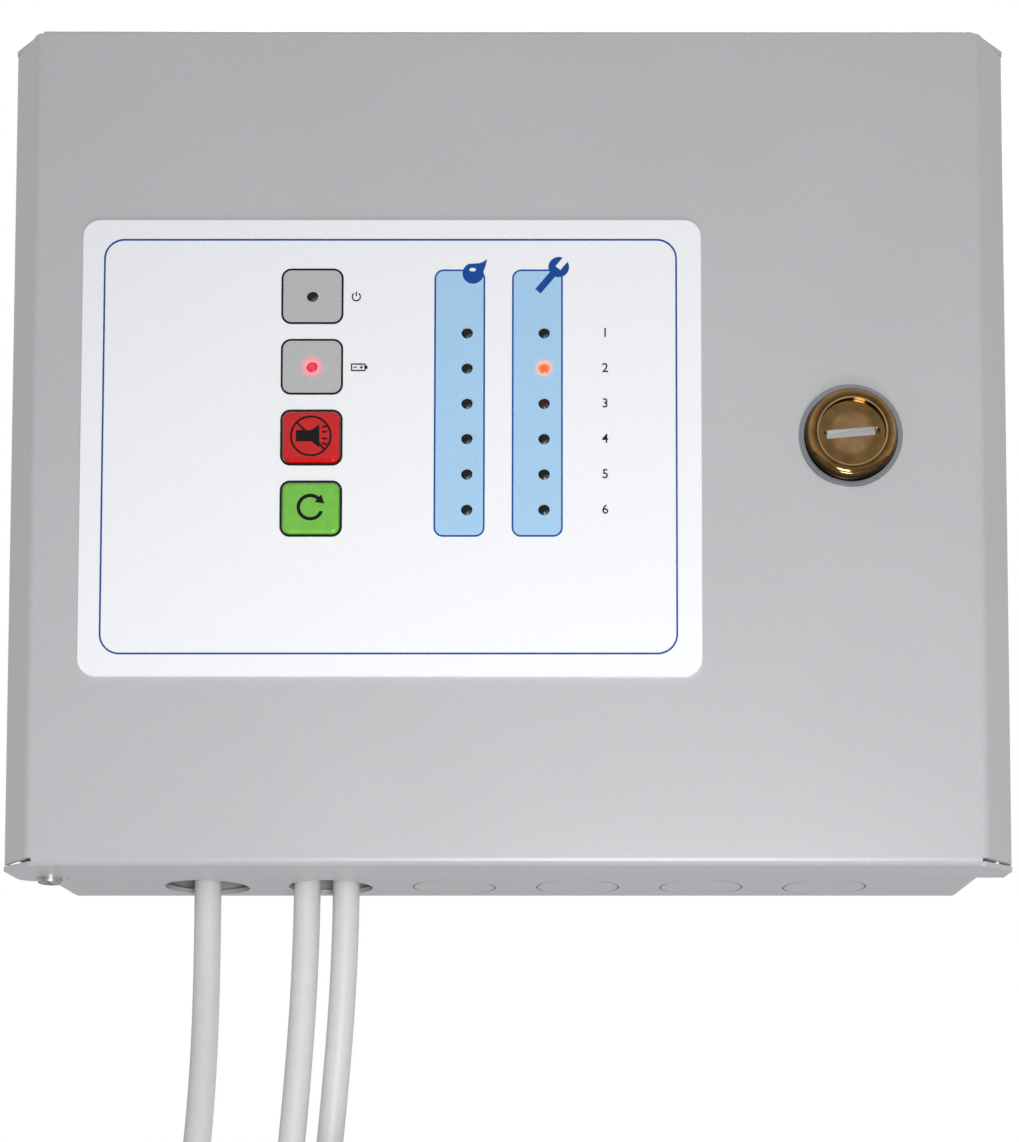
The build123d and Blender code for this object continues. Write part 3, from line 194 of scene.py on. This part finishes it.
def coil_turns(name):
    """The coil's points: outside, inside, inside of the other layer, outside again."""
    side = 1 if cable_routes[name][-1][1] > coil_y[name] else -1
    half = CABLE_R / MM
    points = []
    for step in range(1, int(TURNS * POINTS_PER_TURN) + 1):
        turn = step / POINTS_PER_TURN
        # Each change of ring or layer takes a fifth of a turn
        inward = smooth_step(turn, 0.9, 1.1) - smooth_step(turn, 2.9, 3.1)
        other = smooth_step(turn, 1.9, 2.1)
        radius = COIL_R + half * (1 - 2 * inward)
        angle = pi + 2 * pi * turn
        points.append((
            coil_x[name] + radius * cos(angle),
            coil_y[name] + side * half * (1 - 2 * other),
            COIL_Z + radius * sin(angle),
        ))
    return points


# %% Cable curves
sheath = grained("cable_sheath", ("D3D3D2", "D0D0CF"), 3.0, 0.45, relief_mm=0.002)


def cable(name):
    """One cable as a round NURBS curve along its route, its coil and its short tail."""
    turns = coil_turns(name)
    last = turns[-1]
    tail = [(last[0], last[1], last[2] + TAIL * part) for part in (0.35, 0.7, 1.0)]
    entry = cable_routes[name][-1]
    into_coil = [(entry[0], entry[1], COIL_Z + COIL_ENTRY), (entry[0], entry[1], COIL_Z)]
    points = cable_routes[name] + into_coil + turns + tail
    data = bpy.data.curves.new(name + "_lead", "CURVE")
    data.dimensions = "3D"
    line = data.splines.new("NURBS")
    line.points.add(len(points) - 1)
    for point, place in zip(line.points, points):
        point.co = (*(c * MM for c in place), 1.0)
    line.order_u = 3
    line.use_endpoint_u = True
    line.resolution_u = 4
    data.bevel_depth = CABLE_R
    data.bevel_resolution = 5
    data.use_fill_caps = True
    piece = bpy.data.objects.new(name + "_lead", data)
    bpy.context.scene.collection.objects.link(piece)
    data.materials.append(sheath)
    return piece


cable_nodes = {
    "supply": ("supply_cable", "supply_coil"),
    "sensor_1": ("sensor_cable_1", "sensor_coil_1"),
    "sensor_2": ("sensor_cable_2", "sensor_coil_2"),
}
for name, replaced in cable_nodes.items():
    lead = cable(name)
    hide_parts(*replaced)
    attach(lead, "case")
    print(name, "cable,", len(lead.data.splines[0].points), "points")

# %% [markdown]
# ## Light and surroundings
# The photo shows the object cut out on white. A world that is white to the camera and to
# mirror and glass rays gives that background, while a dimmer, even grey lights the object.
# The lid is brightest low and a little right of its middle and darkens towards its edges,
# so the main lamp is near: it stands beside the camera, a little to its right.
# A second one further down lights the underside and draws the bright line on the bottom bend.
# A large one above and behind lights the top and the back, for views from there.

# %% World, floor and lamps
FLOOR_Z = -1.3
FLOOR_SIZE = 14
# The part of the floor that the camera sees as plain white. The rest takes light and shadow.
FLOOR_WHITENESS = 0.75
LID_CENTRE = Vector((0, LID_FACE_Y, 0))
world = bpy.data.worlds.new("studio")
bpy.context.scene.world = world
world.use_nodes = True
sky = world.node_tree
sky.nodes.clear()
rays = add_node(sky, "ShaderNodeLightPath")
mirrored = add_node(sky, "ShaderNodeMath", {0: rays.outputs["Is Glossy Ray"],
                                            1: rays.outputs["Is Transmission Ray"]},
                    operation="MAXIMUM")
white_ray = add_node(sky, "ShaderNodeMath", {0: rays.outputs["Is Camera Ray"],
                                             1: mirrored.outputs[0]}, operation="MAXIMUM")
lit = add_node(sky, "ShaderNodeBackground", {"Color": (0.95, 0.97, 1.0, 1.0), "Strength": 0.3})
shown = add_node(sky, "ShaderNodeBackground", {"Color": (1, 1, 1, 1), "Strength": 1.0})
seen = add_node(sky, "ShaderNodeMixShader", {0: white_ray.outputs[0],
                                             1: lit.outputs[0], 2: shown.outputs[0]})
add_node(sky, "ShaderNodeOutputWorld", {"Surface": seen.outputs[0]})

bpy.ops.object.select_all(action="DESELECT")
bpy.ops.mesh.primitive_plane_add(size=FLOOR_SIZE, location=(0, 0, FLOOR_Z))
floor = bpy.context.object
floor.name = "floor"
floor_paint = grained("pale_floor", ("FCFCFC", "FAFAFA"), 40.0, 0.8)
paint = floor_paint.node_tree
output = next(n for n in paint.nodes if n.type == "OUTPUT_MATERIAL")
matt = output.inputs["Surface"].links[0].from_socket
seen_ray = add_node(paint, "ShaderNodeLightPath").outputs["Is Camera Ray"]
share = add_node(paint, "ShaderNodeMath", {0: seen_ray, 1: FLOOR_WHITENESS}, operation="MULTIPLY")
white = add_node(paint, "ShaderNodeEmission", {"Color": (1, 1, 1, 1), "Strength": 1.0})
pale = add_node(paint, "ShaderNodeMixShader", {0: share.outputs[0], 1: matt,
                                               2: white.outputs[0]})
paint.links.new(pale.outputs[0], output.inputs["Surface"])
floor.data.materials.append(floor_paint)


def soft_lamp(name, place, width, height, power, colour, aim=LID_CENTRE):
    """A rectangular area lamp that points at the object and isn't seen itself."""
    data = bpy.data.lights.new(name, "AREA")
    data.shape = "RECTANGLE"
    data.size = width
    data.size_y = height
    data.energy = power
    data.color = colour
    lamp = bpy.data.objects.new(name, data)
    bpy.context.scene.collection.objects.link(lamp)
    lamp.location = place
    lamp.rotation_euler = (aim - lamp.location).to_track_quat("-Z", "Y").to_euler()
    lamp.visible_camera = False


soft_lamp("above_behind", Vector((0.3, 1.1, 1.4)), 1.4, 1.4, 34.0, (1.0, 1.0, 1.0))
soft_lamp("beside_camera", Vector((0.06, -0.5, -0.21)), 0.12, 0.12, 1.4, (1.0, 0.99, 0.98))
soft_lamp("low_front", Vector((0.05, -0.46, -0.62)), 0.24, 0.1, 1.3, (0.92, 0.96, 1.0),
          aim=Vector((0.02, -0.06, -0.1)))
print("lamps and floor are in place")

# %% [markdown]
# ## Finishes of the solids
# Each slot of the record gets one finish, named for what the real surface is. The case's
# powder coat is the one that fills the picture. Its silver comes from metal flakes in a grey
# polyester, so it needs three scales: a slow drift of tone over centimetres, the soft
# orange-peel that every powder coat cures with, and single flakes that catch the light.

# %% Powder coat
def powder_coat():
    """Satin silver-grey polyester powder with a few bright flakes and a faint orange peel."""
    material, tree, shader, place = blank_material("powder_coat", 0.36, 0.2)
    drift = add_node(tree, "ShaderNodeTexNoise",
                     {"Vector": place, "Scale": 1 / (45 * MM), "Detail": 1.0})
    tone = add_node(tree, "ShaderNodeValToRGB", {"Fac": drift.outputs["Fac"]})
    tone.color_ramp.elements[0].color = linear("B5B6B8")
    tone.color_ramp.elements[1].color = linear("BBBCBE")
    # Real flakes are under 0.1 mm. These are drawn at 0.3 mm, so that the render can show them.
    flakes = add_node(tree, "ShaderNodeTexVoronoi", {"Vector": place, "Scale": 1 / (0.3 * MM)})
    picked = add_node(tree, "ShaderNodeMapRange", {"Value": flakes.outputs["Color"],
                                                   "From Min": 0.72, "From Max": 1.0,
                                                   "To Min": 0.0, "To Max": 0.4})
    sparkling = add_node(tree, "ShaderNodeMix", {0: picked.outputs["Result"],
                                                 6: tone.outputs["Color"], 7: linear("D3D6D8")},
                         data_type="RGBA")
    tree.links.new(sparkling.outputs[2], shader.inputs["Base Color"])
    peel = add_node(tree, "ShaderNodeTexNoise",
                    {"Vector": place, "Scale": 1 / (1.6 * MM), "Detail": 2.0})
    bump = add_node(tree, "ShaderNodeBump", {"Height": peel.outputs["Fac"],
                                             "Distance": 0.012 * MM, "Strength": 1.0})
    tree.links.new(bump.outputs["Normal"], shader.inputs["Normal"])
    return material


# %% [markdown]
# ## Lamp light that spreads into the print
# Two lamps are lit: the red battery lamp and one amber fault lamp. Their light spreads a
# little way into the print round the window. In that ring the ink's own colour gives way to
# light, so the halo glows and the ink stays as it is further out.

# %% Halo
BATTERY_LAMP = (-47.99, 18.0)
FAULT_LAMP = (9.01, 17.65)
POWER_LAMP = (BATTERY_LAMP[0], BATTERY_LAMP[1] + 17.75)


def distance_from(tree, centre):
    """A socket with the distance, square to the lid, from a point of it."""
    place = add_node(tree, "ShaderNodeTexCoord").outputs["Object"]
    flat = add_node(tree, "ShaderNodeVectorMath", {0: place, 1: (1, 0, 1)}, operation="MULTIPLY")
    point = (centre[0] * MM, 0, centre[1] * MM)
    return add_node(tree, "ShaderNodeVectorMath", {0: flat.outputs[0], 1: point},
                    operation="DISTANCE").outputs["Value"]


def halo(material, centre, colour, inner_mm, outer_mm):
    """Lets a printed finish glow round a lit lamp."""
    tree = material.node_tree
    shader = tree.nodes["Principled BSDF"]
    share = add_node(tree, "ShaderNodeMapRange",
                     {"Value": distance_from(tree, centre), "From Min": inner_mm * MM,
                      "From Max": outer_mm * MM, "To Min": 1.0, "To Max": 0.0},
                     interpolation_type="SMOOTHSTEP")
    ink = shader.inputs["Base Color"].links[0].from_socket
    fading = add_node(tree, "ShaderNodeMix", {0: share.outputs["Result"], 6: ink,
                                              7: (0, 0, 0, 1)}, data_type="RGBA")
    tree.links.new(fading.outputs[2], shader.inputs["Base Color"])
    shader.inputs["Emission Color"].default_value = linear(colour)
    tree.links.new(share.outputs["Result"], shader.inputs["Emission Strength"])
    return material


# %% [markdown]
# ## Lock
# The lock is die-cast zinc under bright plating. Its flange stayed silver, while the domed
# ring and the face have the brown-gold tint of lacquer that has aged. On the ring, light and
# dark bands round the axis are painted reflection and shade: a painted highlight at its inner
# edge and on its crest, painted shade on its slopes. A cloud of lighter and darker tint is
# painted blurred reflection. One finish holds both: the distance from the lock's axis tells
# the flange from the ring. The slot, cut after plating, is bare metal, and its depth tells it
# from the face.

# %% Lock finishes
lock_low, lock_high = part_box("lock_body")
LOCK_AXIS = ((lock_low[0] + lock_high[0]) / 2 / MM, (lock_low[2] + lock_high[2]) / 2 / MM)
LOCK_RADIUS = 12.7
SLOT_FLOOR_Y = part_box("lock_core")[0][1] + 0.15 * MM
print("lock axis at", [round(c, 2) for c in LOCK_AXIS], "mm")


def plated_lock(name, tint_and_reflection_bands, silver, split_mm=None):
    """Bright plating, brown-gold with painted reflection bands round the axis,
    and silver beyond a radius or depth.
    """
    material, tree, shader, place = blank_material(name, 0.13, 1.0)
    away = distance_from(tree, LOCK_AXIS)
    if split_mm:
        where, edge = away, split_mm * MM
    else:
        where = add_node(tree, "ShaderNodeSeparateXYZ", {"Vector": place}).outputs["Y"]
        edge = SLOT_FLOOR_Y
    beyond = add_node(tree, "ShaderNodeMath", {0: where, 1: edge}, operation="GREATER_THAN")
    reach = add_node(tree, "ShaderNodeMath", {0: away, 1: LOCK_RADIUS * MM}, operation="DIVIDE")
    # On the ring the bands are painted reflection and shade: light at the inner edge and crest, dark
    # on the slopes
    tint_and_reflection = add_node(tree, "ShaderNodeValToRGB", {"Fac": reach.outputs[0]})
    stops = tint_and_reflection.color_ramp.elements
    while len(stops) < len(tint_and_reflection_bands):
        stops.new(0.5)
    for stop, (radius, colour) in zip(stops, tint_and_reflection_bands):
        stop.position = radius / LOCK_RADIUS
        stop.color = linear(colour)
    # A painted cloud of blurred reflection, lighter and darker over the tint
    reflection_cloud = add_node(tree, "ShaderNodeTexNoise",
                     {"Vector": place, "Scale": 1 / (4 * MM), "Detail": 3.0})
    shade = add_node(tree, "ShaderNodeMapRange", {"Value": reflection_cloud.outputs["Fac"], "From Min": 0.3,
                                                  "From Max": 0.7, "To Min": 0.72, "To Max": 1.2})
    clouded = add_node(tree, "ShaderNodeVectorMath", {0: tint_and_reflection.outputs["Color"],
                                                      "Scale": shade.outputs["Result"]},
                       operation="SCALE")
    both = add_node(tree, "ShaderNodeMix", {0: beyond.outputs[0], 6: clouded.outputs[0],
                                            7: linear(silver)}, data_type="RGBA")
    tree.links.new(both.outputs[2], shader.inputs["Base Color"])
    rough = add_node(tree, "ShaderNodeMapRange",
                     {"Value": beyond.outputs[0], "To Min": 0.1, "To Max": 0.32})
    tree.links.new(rough.outputs["Result"], shader.inputs["Roughness"])
    return material


# %% Finishes
blue_ink = grained("blue_ink", ("124A98", "0F448E"), 0.4, 0.45, ior=1.3)
black_ink = grained("black_ink", ("060606", "0C0C0C"), 0.4, 0.5, ior=1.25)
finishes = {
    # Polyester powder coat with a little metal flake: satin, with a fine sparkling grit
    "case_paint": powder_coat(),
    # Zinc plated steel: soft bright grey with a faint bloom
    "plated_steel": grained("zinc_plate", ("A9A8A4", "C6C5C0"), 2.0, 0.34, 1.0),
    # Natural nylon: translucent white, slightly warm
    "nylon_white": grained("nylon", ("E4E3DC", "DCDBD3"), 3.0, 0.45),
    # Satin polyester film
    "film_white": grained("polyester_film", ("F5F6F8", "F2F3F5"), 0.6, 0.36, relief_mm=0.003),
    "ink_blue": blue_ink,
    "ink_light_blue": halo(grained("light_blue_ink", ("A9CFEE", "A2C9EA"), 0.4, 0.4),
                           FAULT_LAMP, "FFBFA4", 1.3, 2.7),
    "ink_black": black_ink,
    "ink_silver": halo(grained("silver_ink", ("ABABAD", "BFBFC1"), 0.35, 0.36, 0.2, spread=0.2),
                       BATTERY_LAMP, "FF9AA4", 1.2, 3.4),
    # Cast polyurethane domes: clear gloss over a bright colour
    "key_red": grained("red_dome", ("CC080E", "C4060C"), 2.0, 0.08, ior=1.4),
    "key_green": grained("green_dome", ("74BF44", "6EB940"), 2.0, 0.08, ior=1.4),
    # Bright plating over die-cast zinc, lacquer-tinted; painted reflection bands on the ring
    "lock_nickel": plated_lock("lacquered_plating_painted_reflections", (
        (0, "6F5838"), (8.1, "5A452C"), (8.45, "A68C5C"), (8.8, "3B2C1B"), (9.6, "6A5030"),
        (10.4, "8A6C42"), (11.0, "4A3824"), (11.45, "2A211A")), "808386", split_mm=11.55),
    "board_green": grained("solder_mask", ("14512C", "196036"), 1.5, 0.3),
    "brass_nickel": grained("nickel_plate", ("BDB9AE", "CFCBC0"), 2.0, 0.28, 1.0),
    "lamp_dark": grained("dark_lens", ("24302A", "2C3A33"), 1.0, 0.12),
    "lamp_amber": grained("amber_lens", ("7A4A26", "6E4322"), 1.0, 0.14),
    "lamp_red": grained("red_lens", ("F0202A", "E01C26"), 1.0, 0.14),
    "black_plastic": grained("black_moulding", ("1B1B1C", "222223"), 0.8, 0.5, relief_mm=0.01),
    "black_anodised": grained("black_anodising", ("17181A", "1E1F22"), 0.8, 0.4, 0.6),
    "terminal_green": grained("green_moulding", ("1E7A44", "23824A"), 0.8, 0.45, relief_mm=0.01),
    "fuse_glass": grained("fuse_tube", ("E7ECEA", "DDE3E1"), 2.0, 0.08),
    "ribbon_grey": grained("ribbon_sheath", ("9C9C9C", "A8A8A8"), 1.27, 0.5),
    "core_steel": grained("varnished_laminations", ("2B2A2B", "3A3838"), 0.5, 0.4, 0.6),
    "winding_tape": grained("winding_tape", ("D7B53A", "CDAA30"), 4.0, 0.3),
    "battery_plastic": grained("battery_case", ("202124", "27282B"), 0.8, 0.48, relief_mm=0.01),
    "brass": grained("bare_brass", ("B8924A", "C7A258"), 2.0, 0.26, 1.0),
    "cable_sheath": sheath,
    "core_red": grained("core_sheath", ("8E2A1E", "7E2419"), 1.0, 0.4),
}
slotted_face = plated_lock("slotted_face",
                           ((0, "7E6542"), (4.5, "86694A"), (5.9, "6B5232")), "A9AAAC")
slot_of = {part["node"]: part["material_slot"] for part in frame["record"]["subparts"]}
for name, solid in nodes.items():
    solid.data.materials.clear()
    solid.data.materials.append(slotted_face if name == "lock_core" else finishes[slot_of[name]])
print(len(finishes), "finishes on", len(nodes), "solids")

# %% [markdown]
# ## Windows over the lamps
# The film has a clear window over every lamp, and the lamp's dome shows dark through it. Each
# window is a shallow lens: a ball cut by a plane a little way from its front. One is modelled
# and then copied to each lamp, because all of them are alike.

# %% Window lens
WINDOW_R = 1.38
BALL_R = 2.4
LED_TOP_Z = 26.5
LED_PITCH = 8.85
LEAK_X, FAULT_X = -9.89, FAULT_LAMP[0]
ROWS = 6
film_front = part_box("front_film")[0][1]
print_front = min(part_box(name)[0][1] for name in ("blue_lines", "indicator_fields", "key_outlines",
                                                  "status_fields"))


def window_lens(name):
    """A shallow glass cap, level with the film, at the origin's x and z."""
    sagitta = BALL_R - (BALL_R ** 2 - WINDOW_R ** 2) ** 0.5
    bpy.ops.object.select_all(action="DESELECT")
    bpy.ops.mesh.primitive_uv_sphere_add(segments=28, ring_count=28, radius=BALL_R * MM,
                                         location=(0, film_front + BALL_R * MM, 0),
                                         rotation=(pi / 2, 0, 0))
    bpy.ops.object.transform_apply(location=True, rotation=True, scale=True)
    lens = bpy.context.object
    lens.name = name
    bpy.ops.object.mode_set(mode="EDIT")
    bpy.ops.mesh.select_all(action="SELECT")
    bpy.ops.mesh.bisect(plane_co=(0, film_front + sagitta * MM, 0), plane_no=(0, 1, 0),
                        use_fill=True, clear_outer=True)
    bpy.ops.mesh.select_all(action="SELECT")
    bpy.ops.mesh.normals_make_consistent(inside=False)
    bpy.ops.object.mode_set(mode="OBJECT")
    bpy.ops.object.shade_smooth_by_angle(angle=radians(40))
    return lens


def windows(name, places, finish):
    """Copies of the lens at the given places, joined to one piece of one finish."""
    copies = []
    for x, z in places:
        copy = bpy.data.objects.new(name, first_lens.data.copy())
        bpy.context.scene.collection.objects.link(copy)
        copy.location = (x * MM, 0, z * MM)
        copies.append(copy)
    bpy.ops.object.select_all(action="DESELECT")
    for copy in copies:
        copy.select_set(True)
    bpy.context.view_layer.objects.active = copies[0]
    bpy.ops.object.transform_apply(location=True, rotation=True, scale=True)
    if len(copies) > 1:
        bpy.ops.object.join()
    piece = bpy.context.view_layer.objects.active
    piece.data.materials.clear()
    piece.data.materials.append(finish)
    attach(piece, "lid")


def lit_lens(name, centre, core, rim):
    """A lamp that is on: a bright middle that falls to a deeper colour at its rim."""
    material, tree, shader, _ = blank_material(name, 0.15)
    shader.inputs["Base Color"].default_value = linear("200808")
    ramp = add_node(tree, "ShaderNodeValToRGB", {
        "Fac": add_node(tree, "ShaderNodeMapRange", {
            "Value": distance_from(tree, centre), "From Min": 0.2 * MM, "From Max": 1.4 * MM,
        }).outputs["Result"]})
    ramp.color_ramp.elements[0].color = linear(core)
    ramp.color_ramp.elements[1].color = linear(rim)
    tree.links.new(ramp.outputs["Color"], shader.inputs["Emission Color"])
    shader.inputs["Emission Strength"].default_value = 1.0
    return material


# %% Windows at their lamps
# Painted highlight: the way a window's surface faces where it is lightest
PAINTED_HIGHLIGHT_SIDE = (0.5, 0, -0.87)


def smoked_window(name, deep, pale):
    """Dark clear plastic with a painted highlight, lighter where its surface faces lower right."""
    material, tree, shader, _ = blank_material(name, 0.12, ior=1.3)
    facing = add_node(tree, "ShaderNodeNewGeometry").outputs["Normal"]
    lean = add_node(tree, "ShaderNodeVectorMath", {0: facing, 1: PAINTED_HIGHLIGHT_SIDE},
                    operation="DOT_PRODUCT")
    # Painted highlight: the colour lightens as the surface turns towards the lower right
    ramp = add_node(tree, "ShaderNodeValToRGB", {"Fac": lean.outputs["Value"]})
    ramp.color_ramp.elements[0].position = 0.12
    ramp.color_ramp.elements[1].position = 0.5
    ramp.color_ramp.elements[0].color = linear(deep)
    ramp.color_ramp.elements[1].color = linear(pale)
    tree.links.new(ramp.outputs["Color"], shader.inputs["Base Color"])
    return material


first_lens = window_lens("first_lens")
rows = [LED_TOP_Z - LED_PITCH * row for row in range(ROWS)]
leak_lamps = [(LEAK_X, z) for z in rows]
dark_fault_lamps = [(FAULT_X, rows[i]) for i in (0, 3, 4, 5)]
dark_lamps = [POWER_LAMP] + leak_lamps + dark_fault_lamps
# The second colour of each window is its painted highlight
smoked = smoked_window("smoked_window", "05090A", "5E6E70")
warm_smoked = smoked_window("warm_smoked_window", "2A1612", "7A5040")
windows("dark_windows", dark_lamps, smoked)
windows("dim_fault_window", [(FAULT_X, rows[2])], warm_smoked)
windows("lit_fault_window", [FAULT_LAMP],
        lit_lens("lit_amber", FAULT_LAMP, "E8602A", "F58A55"))
windows("lit_battery_window", [BATTERY_LAMP],
        lit_lens("lit_red", BATTERY_LAMP, "F0304A", "D42038"))
bpy.data.objects.remove(first_lens)
print(len(dark_lamps) + 3, "windows")

# %% [markdown]
# ## Print: symbols and numbers
# Above the two columns stand a drop and a spanner, for a leak and a fault. The red key mutes
# the sounder and the green one resets. Words are left out, so plain symbols and the numbers
# 1 to 6 stand in their places. Each is a layer of ink: a flat curve with its outlines in
# millimetres on the lid, filled between them, given a hair of thickness and made a mesh.

# %% Outlines
INK_HALF = 0.008 * MM
INK_STEP = 0.004 * MM


def circle(x, z, radius, start=0.0, end=360.0, count=48):
    """Points on an arc, counted in degrees from the right, anticlockwise."""
    steps = count if end - start >= 360 else count + 1
    return [(x + radius * cos(radians(start + (end - start) * i / count)),
             z + radius * sin(radians(start + (end - start) * i / count))) for i in range(steps)]


def bar(x0, z0, x1, z1, width):
    """A straight stroke with square ends."""
    length = ((x1 - x0) ** 2 + (z1 - z0) ** 2) ** 0.5
    dx, dz = -(z1 - z0) / length * width / 2, (x1 - x0) / length * width / 2
    return [(x0 + dx, z0 + dz), (x0 - dx, z0 - dz), (x1 - dx, z1 - dz), (x1 + dx, z1 + dz)]


def band(x, z, radius, width, start, end):
    """A bent stroke along an arc."""
    outer = circle(x, z, radius + width / 2, start, end)
    inner = circle(x, z, radius - width / 2, start, end)
    return outer + inner[::-1]


def settle(pieces, front, finish, body):
    """Makes flat curves or text meshes, stands them on the lid as one piece and finishes it."""
    bpy.ops.object.select_all(action="DESELECT")
    for number, piece in enumerate(pieces):
        piece.rotation_euler = (pi / 2, 0, 0)
        piece.location.y = front - INK_STEP * number
        piece.select_set(True)
    bpy.context.view_layer.objects.active = pieces[0]
    bpy.ops.object.convert(target="MESH")
    bpy.ops.object.transform_apply(location=True, rotation=True, scale=True)
    if len(pieces) > 1:
        bpy.ops.object.join()
    piece = bpy.context.view_layer.objects.active
    piece.data.materials.clear()
    piece.data.materials.append(finish)
    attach(piece, body)


def printed(name, shapes, front, finish, body="lid"):
    """A layer of ink, its front at the given y. Each shape is a list of closed outlines in mm."""
    curves = []
    for outlines in shapes:
        data = bpy.data.curves.new(name, "CURVE")
        data.dimensions = "2D"
        data.fill_mode = "BOTH"
        data.extrude = INK_HALF
        for outline in outlines:
            line = data.splines.new("POLY")
            line.points.add(len(outline) - 1)
            for point, (x, z) in zip(line.points, outline):
                point.co = (x * MM, z * MM, 0, 1)
            line.use_cyclic_u = True
        curves.append(bpy.data.objects.new(name, data))
        bpy.context.scene.collection.objects.link(curves[-1])
    settle(curves, front, finish, body)


# %% Drop and spanner
ink_front = print_front - 0.03 * MM
DROP_X, DROP_Z, DROP_R = -8.49, 41.5, 2.6
drop_tip = [(-5.72, 42.6), (-5.45, 43.4), (-5.0, 45.1), (-5.9, 44.45), (-7.0, 44.05),
            (-8.3, 43.98)]
drop = circle(DROP_X, DROP_Z, DROP_R, 112, 372, 40) + drop_tip
GLINT_X, GLINT_Z, GLINT_R = DROP_X - 0.1, DROP_Z + 0.95, 0.55
glint = [(GLINT_X + x * 1.5, GLINT_Z + z * 0.8) for x, z in circle(0, 0, GLINT_R, count=20)]
printed("leak_symbol", [[drop, glint]], ink_front, blue_ink)
printed("leak_symbol_glint", [[glint]], ink_front, finishes["film_white"])

SPANNER_X, SPANNER_Z, SPANNER_R = 12.6, 43.1, 2.54
SPANNER_LENGTH, HANDLE, JAW, JAW_FLOOR = 7.96, 1.74, 1.6, -0.35
handle_angle = degrees(asin(HANDLE / 2 / SPANNER_R))
jaw_angle = degrees(asin(JAW / 2 / SPANNER_R))
upright = ([(-HANDLE / 2, -SPANNER_LENGTH)]
           + circle(0, 0, SPANNER_R, 90 + jaw_angle, 270 - handle_angle, 24)[::-1]
           + [(-JAW / 2, JAW_FLOOR), (JAW / 2, JAW_FLOOR)]
           + circle(0, 0, SPANNER_R, handle_angle - 90, 90 - jaw_angle, 24)[::-1]
           + [(HANDLE / 2, -SPANNER_LENGTH)])
lean = radians(40)
spanner = [(SPANNER_X + x * cos(lean) + z * sin(lean), SPANNER_Z - x * sin(lean) + z * cos(lean))
           for x, z in upright]
printed("fault_symbol", [[spanner]], ink_front, blue_ink)

# %% Symbols beside the status lamps
STROKE = 0.3
power_x, power_z = -37.2, 35.6
printed("power_symbol", [
    [band(power_x, power_z, 1.0, STROKE, 125, 415)],
    [bar(power_x, power_z + 0.15, power_x, power_z + 1.3, STROKE)],
], ink_front, black_ink)

cell_x, cell_z = -36.6, 17.85
cell_edge = [(cell_x - 1.8, cell_z - 0.95), (cell_x + 1.8, cell_z - 0.95),
             (cell_x + 1.8, cell_z + 0.95), (cell_x - 1.8, cell_z + 0.95)]
cell_hollow = [(x - STROKE * (1 if x > cell_x else -1), z - STROKE * (1 if z > cell_z else -1))
               for x, z in cell_edge]
printed("battery_symbol", [
    [cell_edge, cell_hollow],
    [bar(cell_x + 1.8, cell_z, cell_x + 2.25, cell_z, 0.8)],
    [bar(cell_x - 1.15, cell_z, cell_x - 0.35, cell_z, STROKE * 0.8)],
    [bar(cell_x + 0.35, cell_z, cell_x + 1.15, cell_z, STROKE * 0.8)],
    [bar(cell_x + 0.75, cell_z - 0.4, cell_x + 0.75, cell_z + 0.4, STROKE * 0.8)],
], ink_front, black_ink)


# %% Symbols on the keys
def key_face(name):
    """The middle of a key, in mm, and the y of its ink."""
    low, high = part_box(name)
    return (low[0] + high[0]) / 2 / MM, (low[2] + high[2]) / 2 / MM, low[1] - 0.02 * MM


x, z, front = key_face("mute_key")
horn = [(x - 3.65, z + 1.45), (x + 0.1, z + 1.45), (x + 2.1, z + 2.8),
        (x + 2.1, z - 2.85), (x + 0.1, z - 1.35), (x - 3.65, z - 1.35)]
ticks = [[bar(x + 2.75, z + height, x + 4.0, z + height + rise, 0.45)]
         for height, rise in ((2.15, 0.35), (1.0, 0.1), (-0.6, -0.1), (-1.8, -0.35))]
printed("mute_symbol", [
    [circle(x, z, 5.1), circle(x, z, 4.6)], [bar(x - 3.4, z + 3.3, x + 3.4, z - 3.3, 0.5)], [horn],
] + ticks, front, black_ink, "mute_key")

x, z, front = key_face("reset_key")
turn_r = 2.9
end = radians(50)
ARROW_HALF, ARROW_LENGTH = 1.25, 2.1
tip = [(x + r * cos(end), z + r * sin(end)) for r in (turn_r + ARROW_HALF, turn_r - ARROW_HALF)]
tip.append((x + turn_r * cos(end) + ARROW_LENGTH * sin(end),
            z + turn_r * sin(end) - ARROW_LENGTH * cos(end)))
printed("reset_symbol", [[band(x, z, turn_r, 0.85, 50, 340)], [tip]],
        front, black_ink, "reset_key")

# %% Numbers
DIGIT_X, DIGIT_HEIGHT = 24.0, 2.0
# How tall the plain font's digits are, as a share of its size
FONT_SHARE = 0.62
THICKENING = 0.02 * MM
for number, row_z in enumerate(rows, 1):
    bpy.ops.object.select_all(action="DESELECT")
    bpy.ops.object.text_add()
    digit = bpy.context.object
    digit.name = "zone_number_" + str(number)
    digit.data.body = str(number)
    digit.data.align_x = "CENTER"
    digit.data.size = DIGIT_HEIGHT / FONT_SHARE * MM
    digit.data.extrude = INK_HALF
    digit.data.offset = THICKENING
    digit.location = (DIGIT_X * MM, 0, (row_z - DIGIT_HEIGHT / 2) * MM)
    settle([digit], ink_front, black_ink, "lid")
print(ROWS, "numbers and six symbols are printed")
